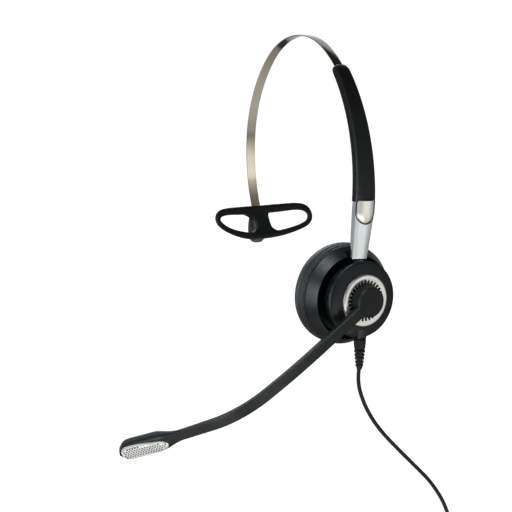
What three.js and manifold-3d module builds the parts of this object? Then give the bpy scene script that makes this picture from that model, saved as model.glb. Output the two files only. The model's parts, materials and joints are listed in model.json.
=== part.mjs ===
// Office telephone headset for one ear, with a boom microphone on a friction hub.
// Millimetres, +Z up. +X points to the ear cup and -Y to the front of the wearer.
// The origin lies on the underside of the headband's crown, where the band rests on the head.
import * as THREE from "three";
import { mergeVertices } from "three/addons/utils/BufferGeometryUtils.js";
import Module from "manifold-3d";

const wasm = await Module();
wasm.setup();

const RAD = Math.PI / 180;
const GAP = 0.3; // air left between neighbouring pieces

// ---- Driving dimensions ----

// Headband: a spring steel strip bent to tangent arcs in the XZ plane.
const STRIP = { width: 5.8, thickness: 0.7 };
const CROWN_RADIUS = 44.85;
const LEFT_ARCS = [
  { radius: CROWN_RADIUS, to: 45 },
  { radius: 70, to: 85 },
  { radius: 95, to: 112.5 },
];
// The right side ends on the arc that the size slider follows.
const SLIDE = { x: -41.34, z: -82.91, radius: 102.5 };
const RIGHT_ARCS = { leaveCrown: 35, blendRadius: 72.8, meetSlide: 58.5, stripEnd: 87 };

// Size slider: a flat sleeve round the strip.
const SLEEVE = {
  top: 50.9,
  bottom: 94.7,
  widthTop: 9.3,
  widthBottom: 12.4,
  outer: 2.6,
  inner: -2.2,
  channelHalf: 3.4,
};

// Ear frame: its X runs out along the ear axis, its Z up along the arm.
const EAR = { x: 35.84, z: -141.9, tilt: 6.4, cupTilt: 2 };
const ARM = { axis: 19.6, top: 52.5, bottom: 21 };
const TILT_PIVOT = 13.7; // cup tilt pin, along the ear axis
const HUB = { coverRadius: 21, ringOuter: 14.3, ringInner: 9.2 };
const RING_TEETH = 30;
const SKIRT_SLOTS = 12;

// Microphone boom: straight, gently bent, then bent in towards the mouth.
const BOOM = {
  angle: 39,
  level: 31.8,
  width: 6.4,
  thickness: 3.4,
  headDisc: 8.3,
  straight: 40,
  gentle: { radius: 300, from: 3, to: 10 },
  bend: { radius: 50, to: 48 },
  run: 18,
};
const MIC = { length: 40.5, width: 11.2, depth: 7.6, face: 1.35 };

// T-bar: the soft temple rest at the free end of the band.
const T_BAR = { x: -40.3, z: -107, lean: 20, rear: -1.2, front: 4.3, roundHead: 210, roll: 3 };
const BRACKET = { x: -48.4, top: -97.2, lean: 6.5 };

// Cord: a limp 2.2 mm lead.
const CORD = { diameter: 2.2, exitAngle: 3.5, axis: 23.0 };
const COIL = { x: 41.9, y: 77, z: -306, turnDiameter: 26, section: 7.4 };
const PLUG = { x: 33.6, y: 90, top: -313.4, relief: 9, width: 11, depth: 6.6, length: 30 };

// ---- Solid helpers ----

// A welded copy of a closed geometry that holds only positions, with its faces turned outwards.
function welded(geometry) {
  const plain = new THREE.BufferGeometry();
  plain.setAttribute("position", geometry.getAttribute("position"));
  if (geometry.index) plain.setIndex(geometry.index);
  const merged = mergeVertices(plain, 1e-4);
  const index = merged.index.array;
  const kept = [];
  for (let i = 0; i < index.length; i += 3) {
    const [a, b, c] = [index[i], index[i + 1], index[i + 2]];
    if (a !== b && b !== c && a !== c) kept.push(a, b, c);
  }
  merged.setIndex(kept);
  if (volumeOf(merged) < 0) {
    for (let i = 0; i < kept.length; i += 3) {
      [kept[i + 1], kept[i + 2]] = [kept[i + 2], kept[i + 1]];
    }
    merged.setIndex(kept);
  }
  return merged;
}

function volumeOf(geometry) {
  const position = geometry.getAttribute("position");
  const index = geometry.index.array;
  const [a, b, c] = [new THREE.Vector3(), new THREE.Vector3(), new THREE.Vector3()];
  let six = 0;
  for (let i = 0; i < index.length; i += 3) {
    a.fromBufferAttribute(position, index[i]);
    b.fromBufferAttribute(position, index[i + 1]);
    c.fromBufferAttribute(position, index[i + 2]);
    six += a.dot(b.cross(c));
  }
  return six / 6;
}

function toManifold(geometry) {
  const closed = welded(geometry);
  return new wasm.Manifold(
    new wasm.Mesh({
      numProp: 3,
      vertProperties: new Float32Array(closed.getAttribute("position").array),
      triVerts: new Uint32Array(closed.index.array),
    }),
  );
}

function fromManifold(solid) {
  const mesh = solid.getMesh();
  const geometry = new THREE.BufferGeometry();
  geometry.setAttribute("position", new THREE.BufferAttribute(mesh.vertProperties, 3));
  geometry.setIndex(Array.from(mesh.triVerts));
  return geometry;
}

function cut(body, ...tools) {
  return fromManifold(tools.reduce((solid, t) => solid.subtract(toManifold(t)), toManifold(body)));
}

function join(body, ...others) {
  return fromManifold(others.reduce((solid, o) => solid.add(toManifold(o)), toManifold(body)));
}

// A solid turned about the X axis from [along, radius] points, which start and end on the
// axis or, with closed = true, form a loop beside it.
function turned(profile, segments = 40, closed = false) {
  const points = profile.map(([along, radius]) => new THREE.Vector2(radius, along));
  if (closed) points.push(points[0].clone());
  return welded(new THREE.LatheGeometry(points, segments).rotateZ(-Math.PI / 2));
}

function box(x0, x1, y0, y1, z0, z1) {
  const geometry = new THREE.BoxGeometry(x1 - x0, y1 - y0, z1 - z0);
  return geometry.translate((x0 + x1) / 2, (y0 + y1) / 2, (z0 + z1) / 2);
}

function rodX(radius, x0, x1, y = 0, z = 0, sides = 16) {
  const rod = new THREE.CylinderGeometry(radius, radius, x1 - x0, sides).rotateZ(-Math.PI / 2);
  return rod.translate((x0 + x1) / 2, y, z);
}

function rodY(radius, x, y0, y1, z, sides = 16) {
  return new THREE.CylinderGeometry(radius, radius, y1 - y0, sides).translate(x, (y0 + y1) / 2, z);
}

function rodZ(radius, x, y, z0, z1, sides = 20) {
  const rod = new THREE.CylinderGeometry(radius, radius, z1 - z0, sides).rotateX(Math.PI / 2);
  return rod.translate(x, y, (z0 + z1) / 2);
}

// A plate with its outline drawn as [y, z] in the YZ plane, from x0 to x1.
function facingX(outline, x0, x1, curveSegments = 12) {
  const plate = new THREE.ExtrudeGeometry(outline, { depth: x1 - x0, bevelEnabled: false, curveSegments });
  return plate.rotateX(Math.PI / 2).rotateZ(Math.PI / 2).translate(x0, 0, 0);
}

// A pipe along Z.
function pipeZ(outer, inner, x, z0, z1, sides = 24) {
  return cut(rodZ(outer, x, 0, z0, z1, sides), rodZ(inner, x, 0, z0 - 1, z1 + 1, sides));
}

// A rounded rectangle as [u, v] pairs, between v0 and v1, with `perCorner` steps a corner.
function roundedSection(width, v0, v1, radius, perCorner = 3) {
  const r = Math.min(radius, width / 2 - 0.01, (v1 - v0) / 2 - 0.01);
  const corners = [
    [width / 2 - r, v1 - r, 0],
    [-width / 2 + r, v1 - r, 90],
    [-width / 2 + r, v0 + r, 180],
    [width / 2 - r, v0 + r, 270],
  ];
  return corners.flatMap(([u, v, start]) =>
    Array.from({ length: perCorner + 1 }, (_, i) => {
      const angle = (start + (90 * i) / perCorner) * RAD;
      return [u + r * Math.cos(angle), v + r * Math.sin(angle)];
    }),
  );
}

// A closed solid through matching rings of points: flat ends, or a closed loop.
function loft(rings, loop = false) {
  const count = rings[0].length;
  const index = [];
  const last = loop ? rings.length : rings.length - 1;
  for (let i = 0; i < last; i++) {
    const next = (i + 1) % rings.length;
    for (let j = 0; j < count; j++) {
      const k = (j + 1) % count;
      const [a, b, c, d] = [i * count + j, i * count + k, next * count + j, next * count + k];
      index.push(a, c, b, b, c, d);
    }
  }
  if (!loop) {
    const end = (rings.length - 1) * count;
    for (let j = 1; j < count - 1; j++) {
      index.push(0, j, j + 1, end, end + j + 1, end + j);
    }
  }
  const geometry = new THREE.BufferGeometry();
  const flat = rings.flat().flatMap((p) => [p.x, p.y, p.z]);
  geometry.setAttribute("position", new THREE.Float32BufferAttribute(flat, 3));
  geometry.setIndex(index);
  return welded(geometry);
}

function steps(from, to, count) {
  return Array.from({ length: count + 1 }, (_, i) => from + ((to - from) * i) / count);
}

const mix = THREE.MathUtils.lerp;

// ---- Materials ----

function finish(color, roughness, metalness) {
  return new THREE.MeshStandardMaterial({ color, roughness, metalness });
}

const MATERIAL = {
  bandSteel: finish(0x8f8a86, 0.32, 1),
  greyMetal: finish(0x9a9a9c, 0.45, 1),
  softBlack: finish(0x1f2022, 0.62, 0),
  satinBlack: finish(0x2a2c30, 0.4, 0),
  boomBlack: finish(0x2b2c2e, 0.5, 0),
  rubber: finish(0x1c1c1e, 0.75, 0),
  polished: finish(0xd9dce0, 0.12, 1),
  champagne: finish(0xc9c5bd, 0.35, 1),
  silverRing: finish(0xcfcac2, 0.28, 1),
  leatherette: finish(0x17171a, 0.55, 0),
  foam: finish(0x2b2b2d, 0.95, 0),
  steel: finish(0xb8bbbf, 0.3, 1),
  bush: finish(0xd8d5cc, 0.5, 0),
  board: finish(0x1d5a34, 0.5, 0),
  film: finish(0xb9b3a4, 0.3, 0),
  magnet: finish(0x77797c, 0.4, 1),
  cord: finish(0x232325, 0.6, 0),
  contacts: finish(0xc9a24a, 0.3, 1),
};

// ---- Headband body ----

// A point on an arc, from its centre, with 0 at the top and positive angles towards +X.
function onArc(x, z, radius, angle) {
  return { x: x + radius * Math.sin(angle * RAD), z: z + radius * Math.cos(angle * RAD), angle };
}

// The strip's centreline from the T-bar end over the crown to the end inside the slider.
function stripPath() {
  const left = [];
  let centre = { x: 0, z: STRIP.thickness / 2 - CROWN_RADIUS };
  let [start, radius] = [0, CROWN_RADIUS];
  for (const arc of LEFT_ARCS) {
    const shift = radius - arc.radius;
    const from = start * RAD;
    centre = { x: centre.x - shift * Math.sin(from), z: centre.z + shift * Math.cos(from) };
    const count = Math.ceil((arc.to - start) / 6);
    steps(start, arc.to, count).forEach((a) => left.push(onArc(centre.x, centre.z, arc.radius, -a)));
    [start, radius] = [arc.to, arc.radius];
  }
  const crown = { x: 0, z: STRIP.thickness / 2 - CROWN_RADIUS };
  const { leaveCrown, blendRadius, meetSlide, stripEnd } = RIGHT_ARCS;
  const reach = blendRadius - CROWN_RADIUS;
  const blend = {
    x: crown.x - reach * Math.sin(leaveCrown * RAD),
    z: crown.z - reach * Math.cos(leaveCrown * RAD),
  };
  const right = [
    ...steps(0, leaveCrown, 6).map((a) => onArc(crown.x, crown.z, CROWN_RADIUS, a)),
    ...steps(leaveCrown, meetSlide - 1, 4).map((a) => onArc(blend.x, blend.z, blendRadius, a)),
    ...steps(meetSlide, stripEnd, 6).map((a) => onArc(SLIDE.x, SLIDE.z, SLIDE.radius, a)),
  ];
  const path = [...left.reverse(), ...right];
  return path.filter((p, i) => !i || Math.hypot(p.x - path[i - 1].x, p.z - path[i - 1].z) > 0.5);
}

// A ring of points across an arc in the XZ plane: u across along Y, v out from its centre.
function ringAcross(point, section) {
  const [s, c] = [Math.sin(point.angle * RAD), Math.cos(point.angle * RAD)];
  return section.map(([u, v]) => new THREE.Vector3(point.x + v * s, u, point.z + v * c));
}

function headbandStrip() {
  const half = STRIP.thickness / 2;
  const section = roundedSection(STRIP.width, -half, half, 0.3, 1);
  const strip = loft(stripPath().map((p) => ringAcross(p, section)));
  return cut(strip, rodX(1.1, -50, -42, 0, -99.2, 12));
}

function bandEndStop() {
  const section = roundedSection(6.2, -0.6, 0.6, 0.3, 1);
  const end = RIGHT_ARCS.stripEnd;
  return loft(
    [end + 0.2, end + 1.6].map((a) => ringAcross(onArc(SLIDE.x, SLIDE.z, SLIDE.radius, a), section)),
  );
}

function tBarBracket() {
  const { x, top, lean } = BRACKET;
  const outline = new THREE.Shape();
  outline.moveTo(-3.4, 0);
  outline.bezierCurveTo(-3.4, -6, -5.5, -8, -5.5, -15.5);
  outline.absarc(0, -15.5, 5.5, Math.PI, 2 * Math.PI, false);
  outline.bezierCurveTo(5.5, -8, 3.4, -6, 3.4, 0);
  outline.closePath();
  const plate = facingX(outline, 0, 1.2, 6).rotateY(-lean * RAD).translate(x, 0, top);
  const lug = join(
    rodY(1.9, T_BAR.x, -2, 2, T_BAR.z),
    box(x + 1.7, T_BAR.x, -2, 2, T_BAR.z - 1.9, T_BAR.z + 1.9),
  );
  const body = join(plate, lug);
  return cut(body, rodY(1.1, T_BAR.x, -3, 3, T_BAR.z, 12), rodX(1.1, -50, -46, 0, -99.2, 12));
}

function bracketRivet() {
  const rivet = turned(
    [[-49.4, 0], [-49.2, 1.2], [-48.7, 1.5], [-48.7, 0.8], [-45.7, 0.8], [-45.7, 0]],
    12,
  );
  return rivet.translate(0, 0, -99.2);
}

// ---- T-bar body ----

// T-bar coordinates: y across, v down its face, n towards the head; bent round the head.
function onTBar(y, straightV, n) {
  const [s, c] = [Math.sin(T_BAR.lean * RAD), Math.cos(T_BAR.lean * RAD)];
  const v = straightV - y * Math.tan(T_BAR.roll * RAD);
  const turn = y / T_BAR.roundHead;
  const across = (T_BAR.roundHead - n) * Math.sin(turn);
  const out = T_BAR.roundHead - (T_BAR.roundHead - n) * Math.cos(turn);
  return new THREE.Vector3(T_BAR.x + v * s + out * c, across, T_BAR.z - v * c + out * s);
}

// The rim's centreline: nearly straight on top, bowed below, round at the ends.
const RIM_POINTS = [
  [0, -8.2], [12, -8.2], [24, -7.8], [30, -5.8], [32, -1.8], [30.4, 2], [25.5, 4.4],
  [16, 6.4], [6, 7.4], [-6, 7.6], [-16, 6.4], [-25.5, 3.6], [-31.4, 0], [-33, -3.4],
  [-30.4, -6.6], [-24, -7.9], [-12, -8.2],
];

function tBarFrame() {
  const curve = new THREE.CatmullRomCurve3(
    RIM_POINTS.map(([y, v]) => new THREE.Vector3(y, v, 0)), true, "catmullrom", 0.5,
  );
  const count = 36;
  const rings = steps(0, 1, count).slice(0, count).map((t) => {
    const at = curve.getPointAt(t);
    const along = curve.getTangentAt(t);
    const width = mix(3.3, 4.4, THREE.MathUtils.smoothstep(-at.y, 2, 8));
    const slim = THREE.MathUtils.smoothstep(Math.abs(at.x), 8, 30);
    const [rear, front] = [mix(T_BAR.rear, 1.2, slim), mix(T_BAR.front, 3.8, slim)];
    const section = roundedSection(width, rear, front, 1.6, 2);
    return section.map(([u, n]) => onTBar(at.x - along.y * u, at.y + along.x * u, n));
  });
  const rim = loft(rings, true);
  const webRows = [
    [-8.2, 9], [-6.2, 6.8], [-4.6, 4.9], [-2.5, 4.1],
    [1.5, 4], [3.6, 4.4], [5.4, 5.6], [7.4, 8.4],
  ];
  const [webRear, webFront] = [T_BAR.rear + 0.35, T_BAR.front - 0.35];
  const web = loft(
    webRows.map(([v, half]) =>
      roundedSection(2 * half, webRear, webFront, 0.8, 2).map(([y, n]) => onTBar(y, v, n)),
    ),
  );
  const lean = new THREE.Matrix4().makeRotationY(-T_BAR.lean * RAD);
  lean.setPosition(T_BAR.x, 0, T_BAR.z);
  const pocket = join(rodY(2.3, 0, -2.4, 2.4, 0), box(-4, 0.3, -2.4, 2.4, -3.4, 3.4)).applyMatrix4(lean);
  return cut(join(rim, web), pocket, rodY(1.1, T_BAR.x, -9, 9, T_BAR.z, 12));
}

function tBarPin() {
  return rodY(0.8, T_BAR.x, -3.7, 3.7, T_BAR.z, 12);
}

// ---- Size slider body ----

function alongSleeve(section, from, to, count) {
  return loft(
    steps(from, to, count).map((a, i) => {
      const share = (a - SLEEVE.top) / (SLEEVE.bottom - SLEEVE.top);
      return ringAcross(onArc(SLIDE.x, SLIDE.z, SLIDE.radius, a), section(share, i));
    }),
  );
}

function sleeveWidth(share) {
  return mix(SLEEVE.widthTop, SLEEVE.widthBottom, share) - (share < 0.02 ? 1.6 : 0);
}

function sleeveOuterCover() {
  const shell = (share) =>
    roundedSection(sleeveWidth(share), -1, SLEEVE.outer - (share < 0.02 ? 0.7 : 0), 1.1, 2);
  const channel = () => roundedSection(2 * SLEEVE.channelHalf, -2, 0.9, 0.2, 1);
  const body = loft(
    [SLEEVE.top, SLEEVE.top + 0.9, ...steps(SLEEVE.top + 3, SLEEVE.bottom, 11)].map((a) =>
      ringAcross(
        onArc(SLIDE.x, SLIDE.z, SLIDE.radius, a),
        shell((a - SLEEVE.top) / (SLEEVE.bottom - SLEEVE.top)),
      ),
    ),
  );
  return cut(body, alongSleeve(channel, SLEEVE.top - 1, SLEEVE.bottom + 1, 12));
}

function sleeveInnerCover() {
  const plate = (share) => roundedSection(sleeveWidth(share), SLEEVE.inner, -1 - GAP - 0.06, 0.4, 2);
  return alongSleeve(plate, SLEEVE.top + 0.9, SLEEVE.bottom, 12);
}

function sleeveSpring() {
  return alongSleeve(() => roundedSection(4, -1, -0.7, 0.1, 1), 62, 74, 5);
}

// The arm's half width and thickness at a height in the ear frame.
function armWidth(z) {
  const share = (z - ARM.bottom) / (ARM.top - ARM.bottom);
  return mix(8.2, 11.8, Math.min(1, share * 1.15));
}

function armThickness(z) {
  return mix(4.6, 6, (z - ARM.bottom) / (ARM.top - ARM.bottom));
}

function armSection(z, trim = 0) {
  const half = armThickness(z) / 2 - trim;
  const section = roundedSection(armWidth(z) - 2 * trim, -half, half, 1.7, 4);
  return section.map(([y, a]) => new THREE.Vector3(ARM.axis + a, y, z));
}

// The tongue's outline in the YZ plane, grown by `extra`.
function tonguePlate(extra, x0, x1) {
  const outline = new THREE.Shape();
  const half = 5.4 + extra;
  outline.moveTo(-half, ARM.top + 2 * extra);
  outline.lineTo(-half, 47.2);
  outline.absellipse(0, 47.2, half, 5.3 + extra, Math.PI, 2 * Math.PI, false);
  outline.lineTo(half, ARM.top + 2 * extra);
  outline.closePath();
  return facingX(outline, x0, x1, 14);
}

function armShell() {
  const heights = [ARM.bottom, ARM.bottom + 0.8, 27, 32, 38, 44, ARM.top];
  const body = loft(heights.map((z, i) => armSection(z, i ? 0 : 0.6)));
  const floor = ARM.axis + 1.1;
  return cut(
    body,
    tonguePlate(GAP, floor, 26),
    box(floor, 26, -9, -5.2, 45, 60),
    box(floor, 26, 5.2, 9, 45, 60),
    rodZ(2.2, ARM.axis, 0, 20, 29, 16),
  );
}

// The tongue is crowned across its width.
function armTongue() {
  const rows = [ARM.top, 50, 47.2, 45, 43.4, 42.4, 41.95];
  const rings = rows.map((z) => {
    const drop = Math.max(0, 47.2 - z) / 5.3;
    const half = 5.4 * Math.sqrt(Math.max(0.02, 1 - drop * drop));
    const crown = 0.7 + 1.6 * (half / 5.4);
    return Array.from({ length: 12 }, (_, i) => {
      const across = Math.cos((i * Math.PI) / 11);
      return new THREE.Vector3(ARM.axis + 2 + crown * (1 - across ** 2), half * across, z);
    }).concat([
      new THREE.Vector3(ARM.axis + 1.4, -half, z),
      new THREE.Vector3(ARM.axis + 1.4, half, z),
    ]);
  });
  return loft(rings);
}

function armStem() {
  return rodZ(1.9, ARM.axis, 0, 11.4, 28.7, 16);
}

function stemClip() {
  return pipeZ(3.1, 2.2, ARM.axis, 12.8, 13.8, 16);
}

// ---- Hub housing body (ear frame) ----

function rotatedAboutEar(geometry, degrees) {
  return geometry.rotateX(degrees * RAD);
}

function coverPostHoles(radius, x0, x1) {
  return [-13.2, 13.2].map((y) => rodX(radius, x0, x1, y, 0, 12));
}

function hubRearHousing() {
  const skirt = turned(
    [
      [16, 0], [16, 17.6], [16.6, 18.7], [18.2, 19.4], [20.6, 19.6],
      [20.6, 18.3], [17.4, 17.8], [17.2, 17.4], [17.2, 0],
    ],
    40,
  );
  const lug = join(rodY(1.7, TILT_PIVOT, -2.7, 2.7, 0), box(TILT_PIVOT, 16.4, -2.7, 2.7, -1.7, 1.7));
  const slots = Array.from({ length: SKIRT_SLOTS }, (_, i) =>
    rotatedAboutEar(box(19.3, 21, -1, 1, 17, 21), (360 * i) / SKIRT_SLOTS),
  ).filter((_, i) => i !== 0 && i !== SKIRT_SLOTS / 2);
  return cut(
    join(skirt, lug),
    ...slots,
    ...coverPostHoles(1.1, 15, 18),
    rodY(1.1, TILT_PIVOT, -4, 4, 0, 12),
    rodZ(3.8, ARM.axis, 0, 12, 25, 20),
  );
}

function hubCover() {
  const shell = turned(
    [
      [20.9, 19.8], [23.2, 20.1], [24, 20.8], [24.4, HUB.coverRadius], [24.8, 20.7],
      [25.7, 18.9], [26.8, 16.4], [27.5, 14.6], [27.5, 11.4], [26.2, 11.4],
      [26.2, 14.8], [25.2, 16.8], [24.2, 18.6], [20.9, 18.5],
    ],
    40,
    true,
  );
  const block = rotatedAboutEar(box(20.6, 26.6, -2.8, 2.6, -22.5, -15.9), CORD.exitAngle);
  return cut(
    join(shell, ...coverPostHoles(1.9, 19.4, 26.6)),
    ...coverPostHoles(1.1, 19, 22.9),
    block,
    rodZ(3.3, ARM.axis, 0, 15, 25, 20),
  );
}

function toothedRing() {
  const { ringOuter, ringInner } = HUB;
  const ring = turned(
    [
      [27.8, ringInner], [29.5, ringInner], [29.5, 12.1], [29.1, 12.5],
      [29.1, ringOuter - 0.4], [28.7, ringOuter], [27.8, ringOuter],
    ],
    RING_TEETH,
    true,
  );
  const slots = Array.from({ length: RING_TEETH }, (_, i) =>
    rotatedAboutEar(box(27, 30, -0.5, 0.5, ringInner - 1, 11.4), (i * 360) / RING_TEETH),
  );
  return cut(ring, ...slots);
}

function boomBearing() {
  return turned([[22, 6.4], [27.5, 6.4], [27.5, 10.6], [22, 10.6]], 24, true);
}

function swivelBush() {
  return pipeZ(3, 2.2, ARM.axis, 15, 20.7, 16);
}

function circuitBoard() {
  return box(17.6, 18.8, -8.5, 8.5, -14.5, -4.5);
}

function hubScrew(side) {
  return turned(
    [[14.7, 0], [14.7, 1.3], [15, 1.6], [15.7, 1.6], [15.7, 0.8], [22.4, 0.8], [22.4, 0]], 12,
  ).translate(0, 13.2 * side, 0);
}

function cordGland() {
  return rotatedAboutEar(box(20.9, 26.2, -2.5, 2.3, -21.8, -16.2), CORD.exitAngle);
}

// The strain relief runs down from the gland; its ribs shrink towards the cord.
const RELIEF = { start: 22.1, first: 27.4, end: 39, ribs: 5 };

function strainRelief() {
  const profile = [[RELIEF.start, 0], [RELIEF.start, 3.15], [RELIEF.first, 2.55]];
  const pitch = (RELIEF.end - 1.6 - RELIEF.first) / RELIEF.ribs;
  for (let i = 0; i < RELIEF.ribs; i++) {
    const at = RELIEF.first + i * pitch;
    const rib = mix(2.85, 2.05, i / (RELIEF.ribs - 1));
    profile.push([at + 0.1, rib - 0.75], [at + 0.75, rib - 0.75]);
    profile.push([at + 0.85, rib], [at + pitch - 0.3, rib - 0.15]);
  }
  profile.push([RELIEF.end - 1.6, 1.5], [RELIEF.end, 1.35], [RELIEF.end, 0]);
  const relief = turned(profile, 12).rotateY(Math.PI / 2).translate(CORD.axis, 0, 0);
  return rotatedAboutEar(relief, CORD.exitAngle);
}

// ---- Ear cup body (ear frame) ----

function cupShell() {
  const shell = turned(
    [
      [11.6, 0], [11.6, 21], [12.2, 21.8], [15.6, 22.6], [16.2, 23], [16.3, 23.6],
      [13.6, 25.6], [11.2, 27.2], [10.6, 27.3], [10.6, 25.8], [12.6, 24.8], [13.6, 23.6],
      [10.7, 22.6], [10.7, 0],
    ].reverse(),
    40,
  );
  const ear = (y0, y1) =>
    join(rodY(1.9, TILT_PIVOT, y0, y1, 0), box(11.2, TILT_PIVOT, y0, y1, -1.9, 1.9));
  return cut(
    join(shell, ear(3.2, 5.2), ear(-5.2, -3.2)),
    rodY(1.1, TILT_PIVOT, -7, 7, 0, 12),
    box(13, 18, -6.2, 6.2, 19, 30),
  );
}

function cupTiltPin() {
  return rodY(0.8, TILT_PIVOT, -5.6, 5.6, 0, 12);
}

function speakerPlate() {
  const plate = turned(
    [
      [3, 0], [3, 12.8], [3.6, 13.5], [9.4, 13.5], [9.4, 26.9],
      [9.8, 27.2], [10.3, 27], [10.3, 12.3], [4.2, 12.3], [4.2, 0],
    ],
    32,
  );
  const holes = [[0, 1], [4.2, 6], [8.4, 12]].flatMap(([radius, count]) =>
    Array.from({ length: count }, (_, i) => {
      const angle = (2 * Math.PI * i) / count;
      return rodX(1, 2, 5, radius * Math.cos(angle), radius * Math.sin(angle), 6);
    }),
  );
  return cut(plate, ...holes);
}

function speakerFrame() {
  return turned([[4.6, 10.9], [6.6, 10.9], [6.6, 5.4], [7.1, 5.4], [7.1, 11.9], [4.6, 11.9]], 24, true);
}

function speakerDiaphragm() {
  return turned(
    [
      [4.6, 0], [4.9, 3.5], [5.5, 5.2], [5.2, 9], [5.6, 10.5],
      [6, 10.5], [5.7, 9], [6, 5.2], [5.4, 3.5], [5.1, 0],
    ],
    24,
  );
}

function speakerMagnet() {
  return turned([[7.4, 0], [7.4, 7], [9.9, 7], [10.1, 6.8], [10.1, 0]], 24);
}

function speakerFoam() {
  return turned([[1.4, 0], [1.4, 12.6], [1.8, 13], [2.7, 13], [2.7, 0]], 24);
}

function earCushion() {
  return turned(
    [
      [9.1, 26.2], [8.4, 27.2], [5.5, 27.6], [2, 27.5], [-1.2, 26.5], [-3.6, 24.4], [-4.6, 21.8],
      [-4.6, 18.4], [-3.8, 16], [-1.6, 14.6], [2, 14.1], [8.4, 14.1], [9.1, 15],
    ],
    32,
    true,
  );
}

// ---- Boom body (ear frame) ----

function boomHub() {
  return turned(
    [
      [26.4, 0], [26.4, 1.3], [21.6, 1.3], [21.6, 5.9], [27.8, 5.9], [27.8, 8.8],
      [28.6, 8.8], [29.8, 8.5], [29.8, 0],
    ],
    32,
  );
}

function boomWasher() {
  return turned([[20.8, 1.4], [21.3, 1.4], [21.3, 7.8], [20.8, 7.8]], 20, true);
}

function boomScrew() {
  return turned([[19.3, 0], [19.3, 2], [19.6, 2.4], [20.5, 2.4], [20.5, 1], [26, 1], [26, 0]], 16);
}

// Boom coordinates: s out from the hub along the rest direction, t in towards the head.
// Each point holds the heading of the boom there.
function boomPath() {
  const points = [];
  const at = { s: 0, t: 0 };
  const go = (length, from, to, count) => {
    for (let i = 0; i < count; i++) {
      const heading = mix(from, to, (i + 0.5) / count) * RAD;
      at.s += (length / count) * Math.cos(heading);
      at.t += (length / count) * Math.sin(heading);
      points.push({ ...at, heading: mix(from, to, (i + 1) / count) });
    }
  };
  const { gentle, bend, straight, run } = BOOM;
  points.push({ s: 0, t: 0, heading: 0 });
  go(9, 0, 0, 1);
  go(4, 0, gentle.from, 2);
  go(straight - 13, gentle.from, gentle.from, 4);
  go(gentle.radius * (gentle.to - gentle.from) * RAD, gentle.from, gentle.to, 3);
  go(bend.radius * (bend.to - gentle.to) * RAD, gentle.to, bend.to, 10);
  go(run, bend.to, bend.to, 3);
  return points;
}

// From boom coordinates to the ear frame: u across the boom, n out of its face.
function onBoom(point, u, n) {
  const heading = point.heading * RAD;
  const s = point.s + n * Math.sin(heading);
  const x = BOOM.level - point.t + n * Math.cos(heading);
  const down = BOOM.angle * RAD;
  return new THREE.Vector3(
    x,
    -s * Math.cos(down) - u * Math.sin(down),
    -s * Math.sin(down) + u * Math.cos(down),
  );
}

function boomArm() {
  const path = boomPath();
  const half = BOOM.thickness / 2;
  const last = path.length - 1;
  const rings = path.map((p, i) => {
    const thin = i > last - 6 ? mix(half, 1.35, (i - last + 6) / 6) : half;
    const wide = i > last - 6 ? mix(BOOM.width, 6.4, (i - last + 6) / 6) : BOOM.width;
    return roundedSection(wide, -thin, thin, 0.9, 2).map(([u, n]) => onBoom(p, u, n));
  });
  const disc = turned(
    [
      [BOOM.level - half, 0], [BOOM.level - half, 8.6], [BOOM.level + half - 0.5, BOOM.headDisc],
      [BOOM.level + half, BOOM.headDisc - 0.4], [BOOM.level + half, 0],
    ],
    32,
  );
  return join(loft(rings), disc);
}

// The microphone pod continues the boom's last straight run.
function micPoint(along) {
  const end = boomPath().at(-1);
  const heading = end.heading * RAD;
  const s = end.s + along * Math.cos(heading);
  return { s, t: end.t + along * Math.sin(heading), heading: end.heading };
}

// The pod's half width at a distance from its neck, with a round far end.
function micHalfWidth(along) {
  const { smoothstep } = THREE.MathUtils;
  const round = MIC.width / 2;
  const end = along > MIC.length - round ? (along - MIC.length + round) / round : 0;
  const swell = mix(3, round, smoothstep(along, 2, 19));
  return swell * Math.sqrt(Math.max(0.04, 1 - end * end));
}

// The pod's centreline sags to one side past the neck and comes back at the far end.
function micSag(along) {
  const { smoothstep } = THREE.MathUtils;
  return -1.2 * smoothstep(along, 1, 14) * (1 - smoothstep(along, 14, 40));
}

// A point on the pod: u across it from its centreline, n out of its face.
function onMic(along, u, n) {
  return onBoom(micPoint(along), u + micSag(along), n);
}

// Half the width of an oval from one distance along the pod to another.
function micOval(along, from, to, half) {
  const end = Math.min(along - from, to - along);
  const round = Math.min(1, Math.max(0, end) / half);
  return half * Math.sqrt(Math.max(0.05, 1 - (1 - round) ** 2));
}

function micHousing() {
  const rows = [GAP, 4, 8, 12, 16, 24, 31, 34.9, 37, 38.8, 40, MIC.length];
  const rings = rows.map((along) => {
    const half = micHalfWidth(along);
    const deep = mix(1.4, MIC.depth - MIC.face, THREE.MathUtils.smoothstep(along, 1, 17));
    const tail = along > 33 ? 1 - 0.6 * ((along - 33) / (MIC.length - 33)) ** 2 : 1;
    const section = roundedSection(2 * half, -deep * tail, MIC.face, 2.4, 3);
    return section.map(([u, n]) => onMic(along, u, n));
  });
  const cavity = [10, 10.8, 12.6, 15.5, 31, 35.6, 38.2, 39.6].map((along) => {
    const half = micOval(along, 10, 39.6, 4.6);
    return roundedSection(2 * half, -3, 3, 0.8, 2).map(([u, n]) => onMic(along, u, n));
  });
  return cut(loft(rings), loft(cavity));
}

function micGrille() {
  const rings = [10.4, 11.2, 13, 15.9, 23, 31, 35.4, 38, 39.2].map((along) => {
    const half = micOval(along, 10.4, 39.2, 4.25);
    return roundedSection(2 * half, 0.5, 1.3, 0.3, 2).map(([u, n]) => onMic(along, u, n));
  });
  return loft(rings);
}

// A disc in the pod, facing out of its face.
function micDisc(along, radius, n0, n1, sides = 16) {
  const rings = [n0, n1].map((n) =>
    Array.from({ length: sides }, (_, i) => {
      const angle = (2 * Math.PI * i) / sides;
      const point = micPoint(along + radius * Math.cos(angle));
      return onBoom(point, radius * Math.sin(angle) + micSag(along), n);
    }),
  );
  return loft(rings);
}

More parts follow.
